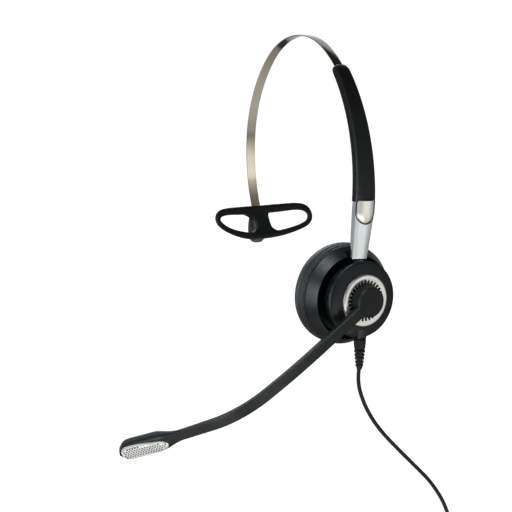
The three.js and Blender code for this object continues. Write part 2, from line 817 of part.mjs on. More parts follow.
function micBoot() {
  return cut(micDisc(27, 3.2, -2.6, -0.6), micDisc(27, 2.3, -2.1, 0));
}

function micCapsule() {
  return micDisc(27, 2, -1.8, -0.5);
}

function micFoam() {
  const rings = [12, 14, 17, 31, 35, 37.8].map((along) => {
    const half = micOval(along, 11.8, 38, 3.7);
    return roundedSection(2 * half, -0.2, 0.2, 0.15, 1).map(([u, n]) => onMic(along, u, n));
  });
  return loft(rings);
}

// ---- Cord, coil and plug (part frame) ----

// The free lead from the strain relief to the coil.
const LEAD_POINTS = [
  [53.95, 2.4, -183.5],
  [53.6, 2.4, -186.6],
  [53.2, 2.8, -190.5],
  [52.7, 4, -194.8],
  [52.2, 6, -199.3],
  [51.6, 8.6, -204],
  [51, 11.8, -208.7],
  [50.3, 15.7, -213.5],
  [49.6, 20.3, -218.4],
  [48.9, 25.6, -223.4],
  [48.2, 31.5, -228.5],
  [47.4, 37.7, -233.7],
  [46.6, 44, -238.9],
  [45.8, 50.4, -244.2],
  [45, 56.9, -249.8],
  [44, 63.5, -256.6],
  [43.1, 69.2, -264],
  [42.4, 73.6, -272],
  [42, 76.2, -280.4],
  [41.9, 77, -289],
];

// The short tail from the coil's side face down to the plug.
const TAIL_POINTS = [
  [37.9, 90, -306],
  [36.6, 90, -306],
  [35.2, 90, -306.5],
  [34.1, 90, -307.7],
  [33.6, 90, -309.4],
  [33.6, 90, -311.2],
  [33.6, 90, -313.1],
];

function cordTube(points, stepCount) {
  const curve = new THREE.CatmullRomCurve3(points.map((p) => new THREE.Vector3(...p)));
  const section = new THREE.Shape();
  const sides = 8;
  for (let i = 0; i <= sides; i++) {
    const angle = (2 * Math.PI * i) / sides;
    const [x, y] = [(CORD.diameter / 2) * Math.cos(angle), (CORD.diameter / 2) * Math.sin(angle)];
    if (i) section.lineTo(x, y);
    else section.moveTo(x, y);
  }
  return new THREE.ExtrudeGeometry(section, { steps: stepCount, extrudePath: curve, bevelEnabled: false });
}

function cordCoil() {
  const mid = COIL.turnDiameter / 2;
  const half = COIL.section / 2;
  const ring = turned(
    roundedSection(COIL.section, mid - half, mid + half, 2, 2),
    28,
    true,
  );
  return ring.translate(COIL.x, COIL.y, COIL.z);
}

// A flat tie round the bundle, at the bottom of the coil.
function cordTie() {
  const { x, y, turnDiameter, section } = COIL;
  const z = COIL.z - turnDiameter / 2;
  const inner = section / 2 + 1.6 * GAP;
  const outer = inner + 0.9;
  const band = box(x - outer, x + outer, y - 1.6, y + 1.6, z - outer, z + outer);
  return cut(band, box(x - inner, x + inner, y - 3, y + 3, z - inner, z + inner));
}

// The quick-disconnect plug hangs beside the coil: relief, body and contact block.
function plugStrainRelief() {
  const { x, y, top, relief } = PLUG;
  const cone = new THREE.CylinderGeometry(1.5, 2.6, relief, 12).rotateX(Math.PI / 2);
  return cone.translate(x, y, top - relief / 2);
}

function plugRings(rows) {
  const bottom = PLUG.top - PLUG.relief - GAP;
  return rows.map(([down, width, depth, radius]) =>
    roundedSection(width, -depth / 2, depth / 2, radius, 2).map(
      ([u, v]) => new THREE.Vector3(PLUG.x + v, PLUG.y + u, bottom - down),
    ),
  );
}

function plugHousing() {
  const { width, depth, length } = PLUG;
  const body = loft(
    plugRings([
      [0, width * 0.62, depth * 0.85, 2], [2.5, width * 0.86, depth * 0.97, 2], [7, width, depth, 1.8],
      [length - 0.6, width, depth, 1.4], [length, width - 0.8, depth - 0.8, 1.2],
    ]),
  );
  return cut(body, loft(plugRings([[length - 9, 7.6, 3.4, 0.4], [length + 2, 7.6, 3.4, 0.4]])));
}

function plugContacts() {
  const { length } = PLUG;
  return loft(plugRings([[length - 8.6, 6.8, 2, 0.2], [length - 2.2, 6.8, 2, 0.2]]));
}

// ---- Assembly ----

const headset = new THREE.Group();
const ear = new THREE.Group();
ear.position.set(EAR.x, 0, EAR.z);
ear.rotation.y = EAR.tilt * RAD;
headset.add(ear);

// The cup rests tilted about its pin.
const cup = new THREE.Group();
const cupTilt = EAR.cupTilt * RAD;
cup.rotation.y = cupTilt;
cup.position.set(TILT_PIVOT * (1 - Math.cos(cupTilt)), 0, TILT_PIVOT * Math.sin(cupTilt));
ear.add(cup);

function place(parent, name, geometry, material) {
  const mesh = new THREE.Mesh(welded(geometry), material);
  mesh.name = name;
  mesh.geometry.computeVertexNormals();
  parent.add(mesh);
}

place(headset, "headband_strip", headbandStrip(), MATERIAL.bandSteel);
place(headset, "band_end_stop", bandEndStop(), MATERIAL.steel);
place(headset, "t_bar_bracket", tBarBracket(), MATERIAL.greyMetal);
place(headset, "bracket_rivet", bracketRivet(), MATERIAL.steel);

place(headset, "t_bar_frame", tBarFrame(), MATERIAL.rubber);
place(headset, "t_bar_pin", tBarPin(), MATERIAL.steel);

place(headset, "sleeve_outer_cover", sleeveOuterCover(), MATERIAL.softBlack);
place(headset, "sleeve_inner_cover", sleeveInnerCover(), MATERIAL.softBlack);
place(headset, "sleeve_friction_spring", sleeveSpring(), MATERIAL.steel);
place(ear, "arm_shell", armShell(), MATERIAL.polished);
place(ear, "arm_tongue", armTongue(), MATERIAL.champagne);
place(ear, "arm_swivel_stem", armStem(), MATERIAL.steel);
place(ear, "stem_retaining_clip", stemClip(), MATERIAL.steel);

place(ear, "hub_rear_housing", hubRearHousing(), MATERIAL.satinBlack);
place(ear, "hub_cover", hubCover(), MATERIAL.satinBlack);
place(ear, "hub_toothed_ring", toothedRing(), MATERIAL.silverRing);
place(ear, "boom_bearing", boomBearing(), MATERIAL.bush);
place(ear, "swivel_bush", swivelBush(), MATERIAL.rubber);
place(ear, "circuit_board", circuitBoard(), MATERIAL.board);
place(ear, "hub_screw_front", hubScrew(-1), MATERIAL.steel);
place(ear, "hub_screw_rear", hubScrew(1), MATERIAL.steel);
place(ear, "cord_gland", cordGland(), MATERIAL.satinBlack);
place(ear, "cord_strain_relief", strainRelief(), MATERIAL.rubber);

place(cup, "cup_shell", cupShell(), MATERIAL.satinBlack);
place(cup, "cup_tilt_pin", cupTiltPin(), MATERIAL.steel);
place(cup, "speaker_plate", speakerPlate(), MATERIAL.satinBlack);
place(cup, "speaker_frame", speakerFrame(), MATERIAL.steel);
place(cup, "speaker_diaphragm", speakerDiaphragm(), MATERIAL.film);
place(cup, "speaker_magnet", speakerMagnet(), MATERIAL.magnet);
place(cup, "speaker_foam", speakerFoam(), MATERIAL.foam);
place(cup, "ear_cushion", earCushion(), MATERIAL.leatherette);

place(ear, "boom_hub", boomHub(), MATERIAL.boomBlack);
place(ear, "boom_washer", boomWasher(), MATERIAL.steel);
place(ear, "boom_screw", boomScrew(), MATERIAL.steel);
place(ear, "boom_arm", boomArm(), MATERIAL.boomBlack);
place(ear, "mic_housing", micHousing(), MATERIAL.boomBlack);
place(ear, "mic_grille", micGrille(), MATERIAL.silverRing);
place(ear, "mic_foam", micFoam(), MATERIAL.foam);
place(ear, "mic_boot", micBoot(), MATERIAL.rubber);
place(ear, "mic_capsule", micCapsule(), MATERIAL.steel);

place(headset, "cord_lead", cordTube(LEAD_POINTS, 30), MATERIAL.cord);
place(headset, "cord_coil", cordCoil(), MATERIAL.cord);
place(headset, "cord_tie", cordTie(), MATERIAL.rubber);
place(headset, "cord_tail", cordTube(TAIL_POINTS, 6), MATERIAL.cord);
place(headset, "plug_strain_relief", plugStrainRelief(), MATERIAL.rubber);
place(headset, "plug_housing", plugHousing(), MATERIAL.satinBlack);
place(headset, "plug_contacts", plugContacts(), MATERIAL.contacts);

export default headset;
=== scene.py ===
"""Looks of a single-ear office headset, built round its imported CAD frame.

Lengths in the functions below are millimetres in a local frame; `place` matrices turn them
into metres in the row frame. The ear frame is [out along the ear axis, y, up along the arm].
"""

import json
import math

import bmesh
import bpy
import numpy as np
from mathutils import Matrix, Vector

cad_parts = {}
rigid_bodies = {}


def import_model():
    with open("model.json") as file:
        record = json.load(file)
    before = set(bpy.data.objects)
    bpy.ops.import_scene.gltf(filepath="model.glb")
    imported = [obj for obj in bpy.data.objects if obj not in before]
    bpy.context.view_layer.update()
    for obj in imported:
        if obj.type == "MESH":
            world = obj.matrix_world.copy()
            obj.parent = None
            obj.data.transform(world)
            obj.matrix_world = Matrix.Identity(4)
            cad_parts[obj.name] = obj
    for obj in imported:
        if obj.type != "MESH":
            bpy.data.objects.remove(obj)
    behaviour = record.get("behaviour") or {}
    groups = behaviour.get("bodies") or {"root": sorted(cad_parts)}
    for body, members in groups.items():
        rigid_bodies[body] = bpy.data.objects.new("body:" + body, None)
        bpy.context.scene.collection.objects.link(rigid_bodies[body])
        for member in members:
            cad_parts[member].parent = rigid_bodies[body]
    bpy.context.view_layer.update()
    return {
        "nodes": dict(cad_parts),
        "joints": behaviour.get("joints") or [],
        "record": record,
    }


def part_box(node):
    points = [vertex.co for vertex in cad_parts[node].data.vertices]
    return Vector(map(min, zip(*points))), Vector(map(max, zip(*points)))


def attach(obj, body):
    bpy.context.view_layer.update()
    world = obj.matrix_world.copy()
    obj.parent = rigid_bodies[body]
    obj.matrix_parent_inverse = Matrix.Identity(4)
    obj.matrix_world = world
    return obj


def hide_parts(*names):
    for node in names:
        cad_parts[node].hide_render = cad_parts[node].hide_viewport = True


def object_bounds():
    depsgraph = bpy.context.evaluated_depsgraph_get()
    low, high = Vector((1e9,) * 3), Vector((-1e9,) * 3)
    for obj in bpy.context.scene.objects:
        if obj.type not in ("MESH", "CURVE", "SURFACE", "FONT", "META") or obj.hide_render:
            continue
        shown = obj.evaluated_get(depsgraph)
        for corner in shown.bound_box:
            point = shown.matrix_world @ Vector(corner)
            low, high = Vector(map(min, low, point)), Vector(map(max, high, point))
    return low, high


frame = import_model()

MM = 0.001
RAD = math.radians(1)
JOINTS = {j["name"]: j for j in frame["joints"]}
MOUNTS = {m["name"]: m for m in frame["record"]["mounts"]}

# ---------------------------------------------------------------- frames


def placed(origin, axis, side=(0, 1, 0)):
    """Matrix from local millimetres to metres: local x along axis, local y along side."""
    x = Vector(axis).normalized()
    y = Vector(side).normalized()
    rows = Matrix((x, y, x.cross(y).normalized())).transposed().to_4x4()
    return Matrix.Translation(Vector(origin)) @ rows @ Matrix.Scale(MM, 4)


def crosswise(origin):
    """Local x along the row frame's Y, local y along its X."""
    return placed(origin, (0, 1, 0), (1, 0, 0))


ROW = Matrix.Scale(MM, 4)
EAR_AXIS = Vector(JOINTS["boom_rotation"]["axis"])
EAR_ORIGIN = Vector(JOINTS["boom_rotation"]["pos_m"])
EAR = placed(EAR_ORIGIN, EAR_AXIS)
TILT_PIVOT = 13.7
CUP_AXIS = -Vector(MOUNTS["ear_pad"]["axis"])
CUP = placed(Vector(JOINTS["cup_tilt"]["pos_m"]) - CUP_AXIS * TILT_PIVOT * MM, CUP_AXIS)
CORD_EXIT_ANGLE = 3.5
CORD_AXIS = 23.0


def sind(degrees):
    return math.sin(degrees * RAD)


def cosd(degrees):
    return math.cos(degrees * RAD)


def tand(degrees):
    return math.tan(degrees * RAD)


def ear_turned(degrees):
    """The ear frame turned about the ear axis."""
    return EAR @ Matrix.Rotation(degrees * RAD, 4, "X")


# ---------------------------------------------------------------- camera

CAMERA_BACK = Vector((0.8420, -0.5364, 0.0576)).normalized()
CAMERA_TARGET = Vector((27.43, -47.05, -121.16)) * MM


def add_camera():
    data = bpy.data.cameras.new("camera")
    data.lens = 130.2
    data.sensor_width = 36
    camera = bpy.data.objects.new("camera", data)
    camera.location = CAMERA_TARGET + CAMERA_BACK * 1.0
    camera.rotation_mode = "QUATERNION"
    camera.rotation_quaternion = (-CAMERA_BACK).to_track_quat("-Z", "Y")
    data.clip_start = 0.05
    data.clip_end = 30
    bpy.context.scene.collection.objects.link(camera)
    bpy.context.scene.camera = camera


add_camera()

# ---------------------------------------------------------------- mesh helpers


def link(obj):
    bpy.context.scene.collection.objects.link(obj)
    return obj


def new_object(name, points, faces, place=ROW, uvs=None):
    """A mesh object from local points. uvs is one pair for each corner of each face."""
    mesh = bpy.data.meshes.new(name)
    mesh.from_pydata([place @ Vector(p) for p in points], [], faces)
    if uvs is not None:
        layer = mesh.uv_layers.new(name="UVMap")
        flat = [c for face in uvs for pair in face for c in pair]
        layer.data.foreach_set("uv", flat)
    edit = bmesh.new()
    edit.from_mesh(mesh)
    bmesh.ops.remove_doubles(edit, verts=edit.verts, dist=1e-7)
    bmesh.ops.recalc_face_normals(edit, faces=edit.faces)
    edit.to_mesh(mesh)
    edit.free()
    return link(bpy.data.objects.new(name, mesh))


def smooth(obj, angle=32):
    obj.data.shade_smooth()
    obj.data.set_sharp_from_angle(angle=angle * RAD)
    return obj


def settle(obj):
    """Replaces the object's mesh by its mesh with all modifiers applied."""
    graph = bpy.context.evaluated_depsgraph_get()
    mesh = bpy.data.meshes.new_from_object(obj.evaluated_get(graph))
    obj.modifiers.clear()
    old = obj.data
    obj.data = mesh
    bpy.data.meshes.remove(old)
    return obj


def drop(*objs):
    for obj in objs:
        mesh = obj.data
        bpy.data.objects.remove(obj)
        bpy.data.meshes.remove(mesh)


def merged(name, objs):
    """One object that holds the meshes of several, left as separate shells."""
    edit = bmesh.new()
    for obj in objs:
        edit.from_mesh(obj.data)
    mesh = bpy.data.meshes.new(name)
    edit.to_mesh(mesh)
    edit.free()
    drop(*objs)
    return link(bpy.data.objects.new(name, mesh))


def boolean(obj, tools, operation="DIFFERENCE"):
    for tool in tools:
        modifier = obj.modifiers.new("cut", "BOOLEAN")
        modifier.operation = operation
        modifier.solver = "EXACT"
        modifier.object = tool
    settle(obj)
    drop(*tools)
    return obj


def bevelled(obj, width, segments=3, angle=30, weighted=True):
    """Rounds the sharp edges by width, in millimetres."""
    modifier = obj.modifiers.new("bevel", "BEVEL")
    modifier.width = width * MM
    modifier.segments = segments
    modifier.limit_method = "ANGLE"
    modifier.angle_limit = angle * RAD
    modifier.use_clamp_overlap = True
    modifier.miter_outer = "MITER_ARC"
    settle(obj)
    obj.data.shade_smooth()
    if weighted:
        obj.modifiers.new("normals", "WEIGHTED_NORMAL").keep_sharp = True
        settle(obj)
    return obj


def filleted(points, closed=False, steps=5):
    """Rounds the corners of a polyline of (along, radius[, fillet]) points."""
    out = []
    count = len(points)
    for i, point in enumerate(points):
        fillet = point[2] if len(point) > 2 else 0
        at = Vector(point[:2])
        if not fillet or (not closed and i in (0, count - 1)):
            out.append(tuple(at))
            continue
        before = Vector(points[i - 1][:2]) - at
        after = Vector(points[(i + 1) % count][:2]) - at
        half = before.angle(after) / 2
        reach = min(fillet / math.tan(half), 0.48 * before.length, 0.48 * after.length)
        start = at + before.normalized() * reach
        end = at + after.normalized() * reach
        for k in range(steps + 1):
            t = k / steps
            out.append(tuple(start * (1 - t) ** 2 + at * 2 * t * (1 - t) + end * t**2))
    return out


def turned(name, profile, place=EAR, segments=128, closed=False, angle=28):
    """A solid turned about local x from (along, radius[, fillet]) points."""
    line = filleted(profile, closed)
    count = len(line)
    lengths = [0.0]
    for i in range(1, count + 1):
        step = Vector(line[i % count]) - Vector(line[i - 1])
        lengths.append(lengths[-1] + step.length)
    points, faces, uvs = [], [], []
    for s in range(segments):
        turn = 2 * math.pi * s / segments
        points += [(x, r * math.sin(turn), r * math.cos(turn)) for x, r in line]
    reach = max(r for _, r in line)
    for s in range(segments):
        here, there = s * count, ((s + 1) % segments) * count
        near, far = (2 * math.pi * reach * (s + k) / segments for k in (0, 1))
        for i in range(count if closed else count - 1):
            j = (i + 1) % count
            faces.append((here + i, here + j, there + j, there + i))
            low, high = lengths[i : i + 2]
            uvs.append([(low, near), (high, near), (high, far), (low, far)])
    return smooth(new_object(name, points, faces, place, uvs), angle)


def section(width, low, high, radius, corner=4, low_radius=None):
    """A rounded rectangle as (u, v) pairs; the low side may have its own radius."""
    room = (high - low) - low_radius - 0.02 if low_radius else (high - low) / 2 - 0.01
    limit = min(width / 2 - 0.01, room)
    top = min(radius, limit)
    foot = min(low_radius or radius, limit)
    corners = [
        (width / 2 - top, high - top, 0, top),
        (-width / 2 + top, high - top, 90, top),
        (-width / 2 + foot, low + foot, 180, foot),
        (width / 2 - foot, low + foot, 270, foot),
    ]
    out = []
    for u, v, start, r in corners:
        for i in range(corner + 1):
            turn = start + 90 * i / corner
            out.append((u + r * cosd(turn), v + r * sind(turn)))
    return out


def loft(name, rings, place=ROW, loop=False, angle=35):
    """A solid through matching rings of points; UVs run along and across in millimetres."""
    count, rows = len(rings[0]), len(rings)
    rings = [[Vector(p) for p in ring] for ring in rings]
    middle = rings[rows // 2]
    centres = [sum(ring, Vector()) / count for ring in rings]
    around, along = [0.0], [0.0]
    for j in range(count):
        around.append(around[-1] + (middle[(j + 1) % count] - middle[j]).length)
    for i in range(rows):
        along.append(along[-1] + (centres[(i + 1) % rows] - centres[i]).length)
    faces, uvs = [], []
    for i in range(rows if loop else rows - 1):
        k = (i + 1) % rows
        for j in range(count):
            m = (j + 1) % count
            faces.append((i * count + j, k * count + j, k * count + m, i * count + m))
            corners = ((i, j), (i + 1, j), (i + 1, j + 1), (i, j + 1))
            uvs.append([(along[a], around[b]) for a, b in corners])
    for row in () if loop else (0, rows - 1):
        faces.append([row * count + j for j in range(count)])
        uvs.append([(along[row], around[j]) for j in range(count)])
    points = [p for ring in rings for p in ring]
    return smooth(new_object(name, points, faces, place, uvs), angle)


def block(size, place=EAR):
    """A plain box tool from its (low, high) corners."""
    (x0, x1), (y0, y1), (z0, z1) = size
    points = [(x, y, z) for x in (x0, x1) for y in (y0, y1) for z in (z0, z1)]
    faces = [(0, 1, 3, 2), (4, 6, 7, 5), (0, 4, 5, 1), (2, 3, 7, 6), (0, 2, 6, 4), (1, 5, 7, 3)]
    return new_object("block", points, faces, place)


def rod(name, radius, start, end, place=EAR, segments=40, chamfer=0.0, axis="X"):
    """A round bar along a local axis through the origin of place."""
    turn = {"X": Matrix(), "Z": Matrix.Rotation(-90 * RAD, 4, "Y")}[axis]
    c = min(chamfer, radius * 0.4)
    line = [(start, 0), (start, radius, c), (end, radius, c), (end, 0)]
    return turned(name, line, place @ turn, segments)


def steps(low, high, count):
    return [low + (high - low) * i / count for i in range(count + 1)]


def mix(a, b, t):
    return a + (b - a) * t


def smoothstep(x, low, high):
    t = min(1.0, max(0.0, (x - low) / (high - low)))
    return t * t * (3 - 2 * t)


def cubic(a, b, c, d, t):
    """A point between b and c on the smooth curve through a, b, c and d."""
    return 0.5 * (
        2 * b + (c - a) * t + (2 * a - 5 * b + 4 * c - d) * t**2 + (3 * b - a - 3 * c + d) * t**3
    )


def catmull(points, per_span=8):
    """Points on a smooth curve through the given ones."""
    p = [Vector(q) for q in points]
    p = [2 * p[0] - p[1], *p, 2 * p[-1] - p[-2]]
    spans = range(1, len(p) - 2)
    curve = [cubic(*p[i - 1 : i + 3], k / per_span) for i in spans for k in range(per_span)]
    return [*curve, p[-2]]


def remeshed(obj, voxel, rounds):
    """Rebuilds a mesh evenly at a voxel size in metres and relaxes it."""
    remesh = obj.modifiers.new("remesh", "REMESH")
    remesh.mode = "VOXEL"
    remesh.voxel_size = voxel
    relax = obj.modifiers.new("relax", "SMOOTH")
    relax.factor = 0.5
    relax.iterations = rounds
    return settle(obj)


# ---------------------------------------------------------------- materials


def new_node(tree, kind, **values):
    """A shader node with some of its inputs set; a "_" stands for a space in an input's name."""
    node = tree.nodes.new("ShaderNode" + kind)
    for socket, value in values.items():
        node.inputs[socket.replace("_", " ")].default_value = value
    return node


def color_ramp(tree, rows):
    """A colour ramp through (position, colour) rows."""
    ramp = new_node(tree, "ValToRGB")
    elements = ramp.color_ramp.elements
    while len(elements) < len(rows):
        elements.new(0.5)
    for element, (at, color) in zip(elements, rows):
        element.position = at
        element.color = (*color, 1)
    return ramp


class Nodes:
    """Builds one node material."""

    def __init__(self, name, color, roughness, metallic=0.0, specular=0.5, coordinates="Object"):
        self.material = bpy.data.materials.new(name)
        self.material.use_nodes = True
        self.tree = self.material.node_tree
        self.shader = self.tree.nodes["Principled BSDF"]
        self.set("Base Color", (*color, 1))
        self.set("Roughness", roughness)
        self.set("Metallic", metallic)
        self.set("Specular IOR Level", specular)
        self.color = color
        self.roughness = roughness
        self.use(coordinates)
        self.height = None

    def set(self, socket, value):
        self.shader.inputs[socket].default_value = value

    def use(self, coordinates):
        self.coordinates = new_node(self.tree, "TexCoord").outputs[coordinates]

    def join(self, output, target):
        """Joins an output to an input, or to the shader's input of that name."""
        if isinstance(target, str):
            target = self.shader.inputs[target]
        self.tree.links.new(output, target)

    def mapped(self, scale):
        scales = scale if isinstance(scale, tuple) else (scale,) * 3
        node = new_node(self.tree, "Mapping", Scale=scales)
        self.join(self.coordinates, node.inputs["Vector"])
        return node.outputs["Vector"]

    def noise(self, scale, detail=3.0, rough=0.55):
        node = new_node(self.tree, "TexNoise", Scale=1.0, Detail=detail, Roughness=rough)
        self.join(self.mapped(scale), node.inputs["Vector"])
        return node.outputs["Fac"]

    def cells(self, scale, feature="DISTANCE_TO_EDGE"):
        node = new_node(self.tree, "TexVoronoi")
        node.feature = feature
        node.inputs["Scale"].default_value = 1.0
        self.join(self.mapped(scale), node.inputs["Vector"])
        return node.outputs["Distance"]

    def ranged(self, value, low, high, out_low, out_high):
        limits = {"From_Min": low, "From_Max": high, "To_Min": out_low, "To_Max": out_high}
        node = new_node(self.tree, "MapRange", **limits)
        self.join(value, node.inputs["Value"])
        return node.outputs["Result"]

    def added(self, *values):
        node = new_node(self.tree, "Math")
        node.operation = "ADD"
        for value, socket in zip(values, node.inputs):
            self.join(value, socket)
        return node.outputs[0]

    def tint(self, value, low_color, high_color, low=0.3, high=0.7):
        """Colours the surface between two colours by a value."""
        self.toned(value, [(low, low_color), (high, high_color)])

    def toned(self, value, rows):
        ramp = color_ramp(self.tree, rows)
        self.join(value, ramp.inputs["Fac"])
        self.join(ramp.outputs["Color"], "Base Color")

    def mottled(self, scale, amount):
        """Colour that drifts by a share of itself over the surface."""
        low = [c * (1 - amount) for c in self.color]
        high = [min(1.0, c * (1 + amount)) for c in self.color]
        self.tint(self.noise(scale, 4.0), low, high)

    def uneven(self, scale, amount):
        """Roughness that drifts over the surface."""
        fac = self.noise(scale, 5.0, 0.6)
        low, high = self.roughness - amount, self.roughness + amount
        self.join(self.ranged(fac, 0.3, 0.7, low, high), "Roughness")

    def bump(self, value, distance, strength=1.0):
        """Adds a height in millimetres."""
        node = new_node(self.tree, "Bump", Strength=strength, Distance=distance * MM)
        self.join(value, node.inputs["Height"])
        if self.height:
            self.join(self.height, node.inputs["Normal"])
        self.height = node.outputs["Normal"]
        self.join(self.height, "Normal")


FINE_GRAIN = ((5200.0, 3.0, 0.6), 0.01, 0.5)


def surface(name, color, shine, mottle, drift, *bumps):
    """A finish of drifting colour and gloss, with bumps of (noise, height in mm, strength).

    shine is its roughness, metallic and specular; mottle and drift are each (scale, amount).
    """
    m = Nodes(name, color, *shine)
    m.mottled(*mottle)
    if drift:
        m.uneven(*drift)
    for noise, height, strength in bumps:
        m.bump(m.noise(*noise), height, strength)
    return m


def moulded(name, color, roughness, specular, grain=0.02, grain_scale=4200.0):
    """Moulded plastic with a fine eroded grain."""
    fine, waves = ((grain_scale, 2.0, 0.5), grain, 0.7), ((420.0, 2.0), 0.015, 0.5)
    shine = (roughness, 0.0, specular)
    return surface(name, color, shine, (180.0, 0.18), (260.0, 0.05), fine, waves).material


def rubber(name, color, roughness, specular):
    """Soft rubber with a faint sheen."""
    grain = ((2600.0, 3.0, 0.6), 0.03, 0.6)
    m = surface(name, color, (roughness, 0.0, specular), (240.0, 0.22), (500.0, 0.06), grain)
    m.set("Sheen Weight", 0.02)
    m.set("Sheen Roughness", 0.5)
    return m.material


def brushed(name, reflection_tones, roughness):
    """Metal drawn along the UVs' first direction, with its own warm tint and with reflections
    painted into its colour by height: (z in mm, colour) rows.
    """
    m = Nodes(name, reflection_tones[0][1], roughness, 1.0, 0.5, "UV")
    lines = m.noise((0.014, 2.6, 1.0), 4.0, 0.65)
    m.join(m.ranged(lines, 0.3, 0.7, roughness - 0.03, roughness + 0.05), "Roughness")
    m.use("Object")
    split = new_node(m.tree, "SeparateXYZ")
    m.join(m.coordinates, split.inputs["Vector"])
    low, high = reflection_tones[0][0], reflection_tones[-1][0]
    height = m.ranged(split.outputs["Z"], low * MM, high * MM, 0.0, 1.0)
    drift = m.added(height, m.ranged(m.noise(60.0, 3.0), 0.3, 0.7, -0.012, 0.012))
    streak = m.added(drift, m.ranged(lines, 0.3, 0.7, -0.006, 0.006))
    # The colour follows height, which paints the reflections into the band.
    m.toned(streak, [((z - low) / (high - low), color) for z, color in reflection_tones])
    m.bump(lines, 0.0015, 0.6)
    return m.material


def polished(name, color, roughness, specks=0.002, metal=1.0):
    """Plated or silvered surface with faint hairlines and uneven gloss."""
    hairlines = ((5200.0, 5200.0, 300.0), 3.0, 0.6), specks, 0.5
    waves = ((110.0, 2.0), 0.03, 0.12)
    gloss = (700.0, min(0.03, roughness * 0.5))
    return surface(name, color, (roughness, metal), (90.0, 0.03), gloss, hairlines, waves).material


def satin_metal(name, color, *shine):
    return surface(name, color, shine, (400.0, 0.08), (900.0, 0.07), FINE_GRAIN).material


def leatherette():
    """Pebbled leatherette: rough in its grooves, a little glossier on the pebbles, with painted
    shade darkening its grooves.
    """
    m = Nodes("leatherette", (0.0085, 0.0088, 0.0100), 0.5, 0.0, 0.25)
    pebbles = m.ranged(m.cells(1500.0), 0.0, 0.22, 0.0, 1.0)
    # Painted shade: the grooves between the pebbles are coloured darker where the bump sinks.
    m.tint(pebbles, (0.004, 0.004, 0.005), (0.0105, 0.011, 0.0125), 0.0, 1.0)
    m.join(m.ranged(pebbles, 0.0, 1.0, 0.62, 0.46), "Roughness")
    m.bump(pebbles, 0.035, 0.55)
    m.bump(m.noise(5200.0, 3.0, 0.6), 0.012, 0.5)
    m.bump(m.noise(320.0, 3.0, 0.6), 0.05, 0.3)
    m.set("Sheen Weight", 0.05)
    return m.material


def foam():
    m = Nodes("open_foam", (0.012, 0.012, 0.013), 0.95, 0.0, 0.1)
    pores = m.cells(2400.0, "F1")
    # Painted shade: the pores are coloured darker where the bump sinks.
    m.tint(pores, (0.003, 0.003, 0.0035), (0.022, 0.022, 0.024), 0.1, 0.7)
    m.bump(pores, 0.25, 1.0)
    return m.material


def jacket():
    """The cord's smooth jacket with faint flow lines."""
    grain, waves = ((2400.0, 3.0, 0.6), 0.012, 0.5), ((150.0, 2.0), 0.05, 0.3)
    color, shine = (0.0200, 0.0205, 0.0200), (0.55, 0.0, 0.03)
    return surface("cord_jacket", color, shine, (60.0, 0.15), (900.0, 0.05), grain, waves).material


def board_material():
    m = Nodes("green_board", (0.012, 0.09, 0.035), 0.4, 0.0, 0.5)
    tracks = m.cells((700.0, 700.0, 120.0), "F1")
    m.tint(tracks, (0.01, 0.07, 0.03), (0.02, 0.15, 0.06), 0.35, 0.5)
    m.bump(tracks, 0.03, 0.5)
    return m.material


def film_material():
    grain = ((2000.0, 2.0), 0.02, 0.4)
    color, shine = (0.5, 0.45, 0.36), (0.3, 0.0, 0.5)
    return surface("speaker_film", color, shine, (300.0, 0.06), None, grain).material


# The band's warm steel tint by height, with painted reflections: its bright and dark bands stand in
# for the studio's reflections in the metal.
BAND_PAINTED_REFLECTIONS = [
    (-97.6, (0.200, 0.174, 0.129)),
    (-90.6, (0.270, 0.236, 0.176)),
    (-87.9, (0.370, 0.323, 0.245)),
    (-85.2, (0.475, 0.415, 0.318)),
    (-82.6, (0.630, 0.550, 0.421)),
    (-79.8, (0.960, 0.849, 0.662)),
    (-77.1, (0.980, 0.917, 0.731)),
    (-72.6, (0.900, 0.811, 0.641)),
    (-69.0, (0.850, 0.762, 0.602)),
    (-66.3, (0.780, 0.695, 0.542)),
    (-63.6, (0.640, 0.565, 0.439)),
    (-60.9, (0.470, 0.405, 0.310)),
    (-58.2, (0.335, 0.289, 0.219)),
    (-55.6, (0.220, 0.200, 0.170)),
    (-52.6, (0.325, 0.305, 0.270)),
    (-48.6, (0.360, 0.335, 0.295)),
    (-44.6, (0.430, 0.405, 0.360)),
    (-37.0, (0.530, 0.510, 0.460)),
    (-25.0, (0.520, 0.490, 0.440)),
    (-15.0, (0.570, 0.540, 0.485)),
    (-9.0, (0.700, 0.665, 0.600)),
    (-5.0, (0.500, 0.490, 0.470)),
    (1.0, (0.490, 0.480, 0.460)),
]

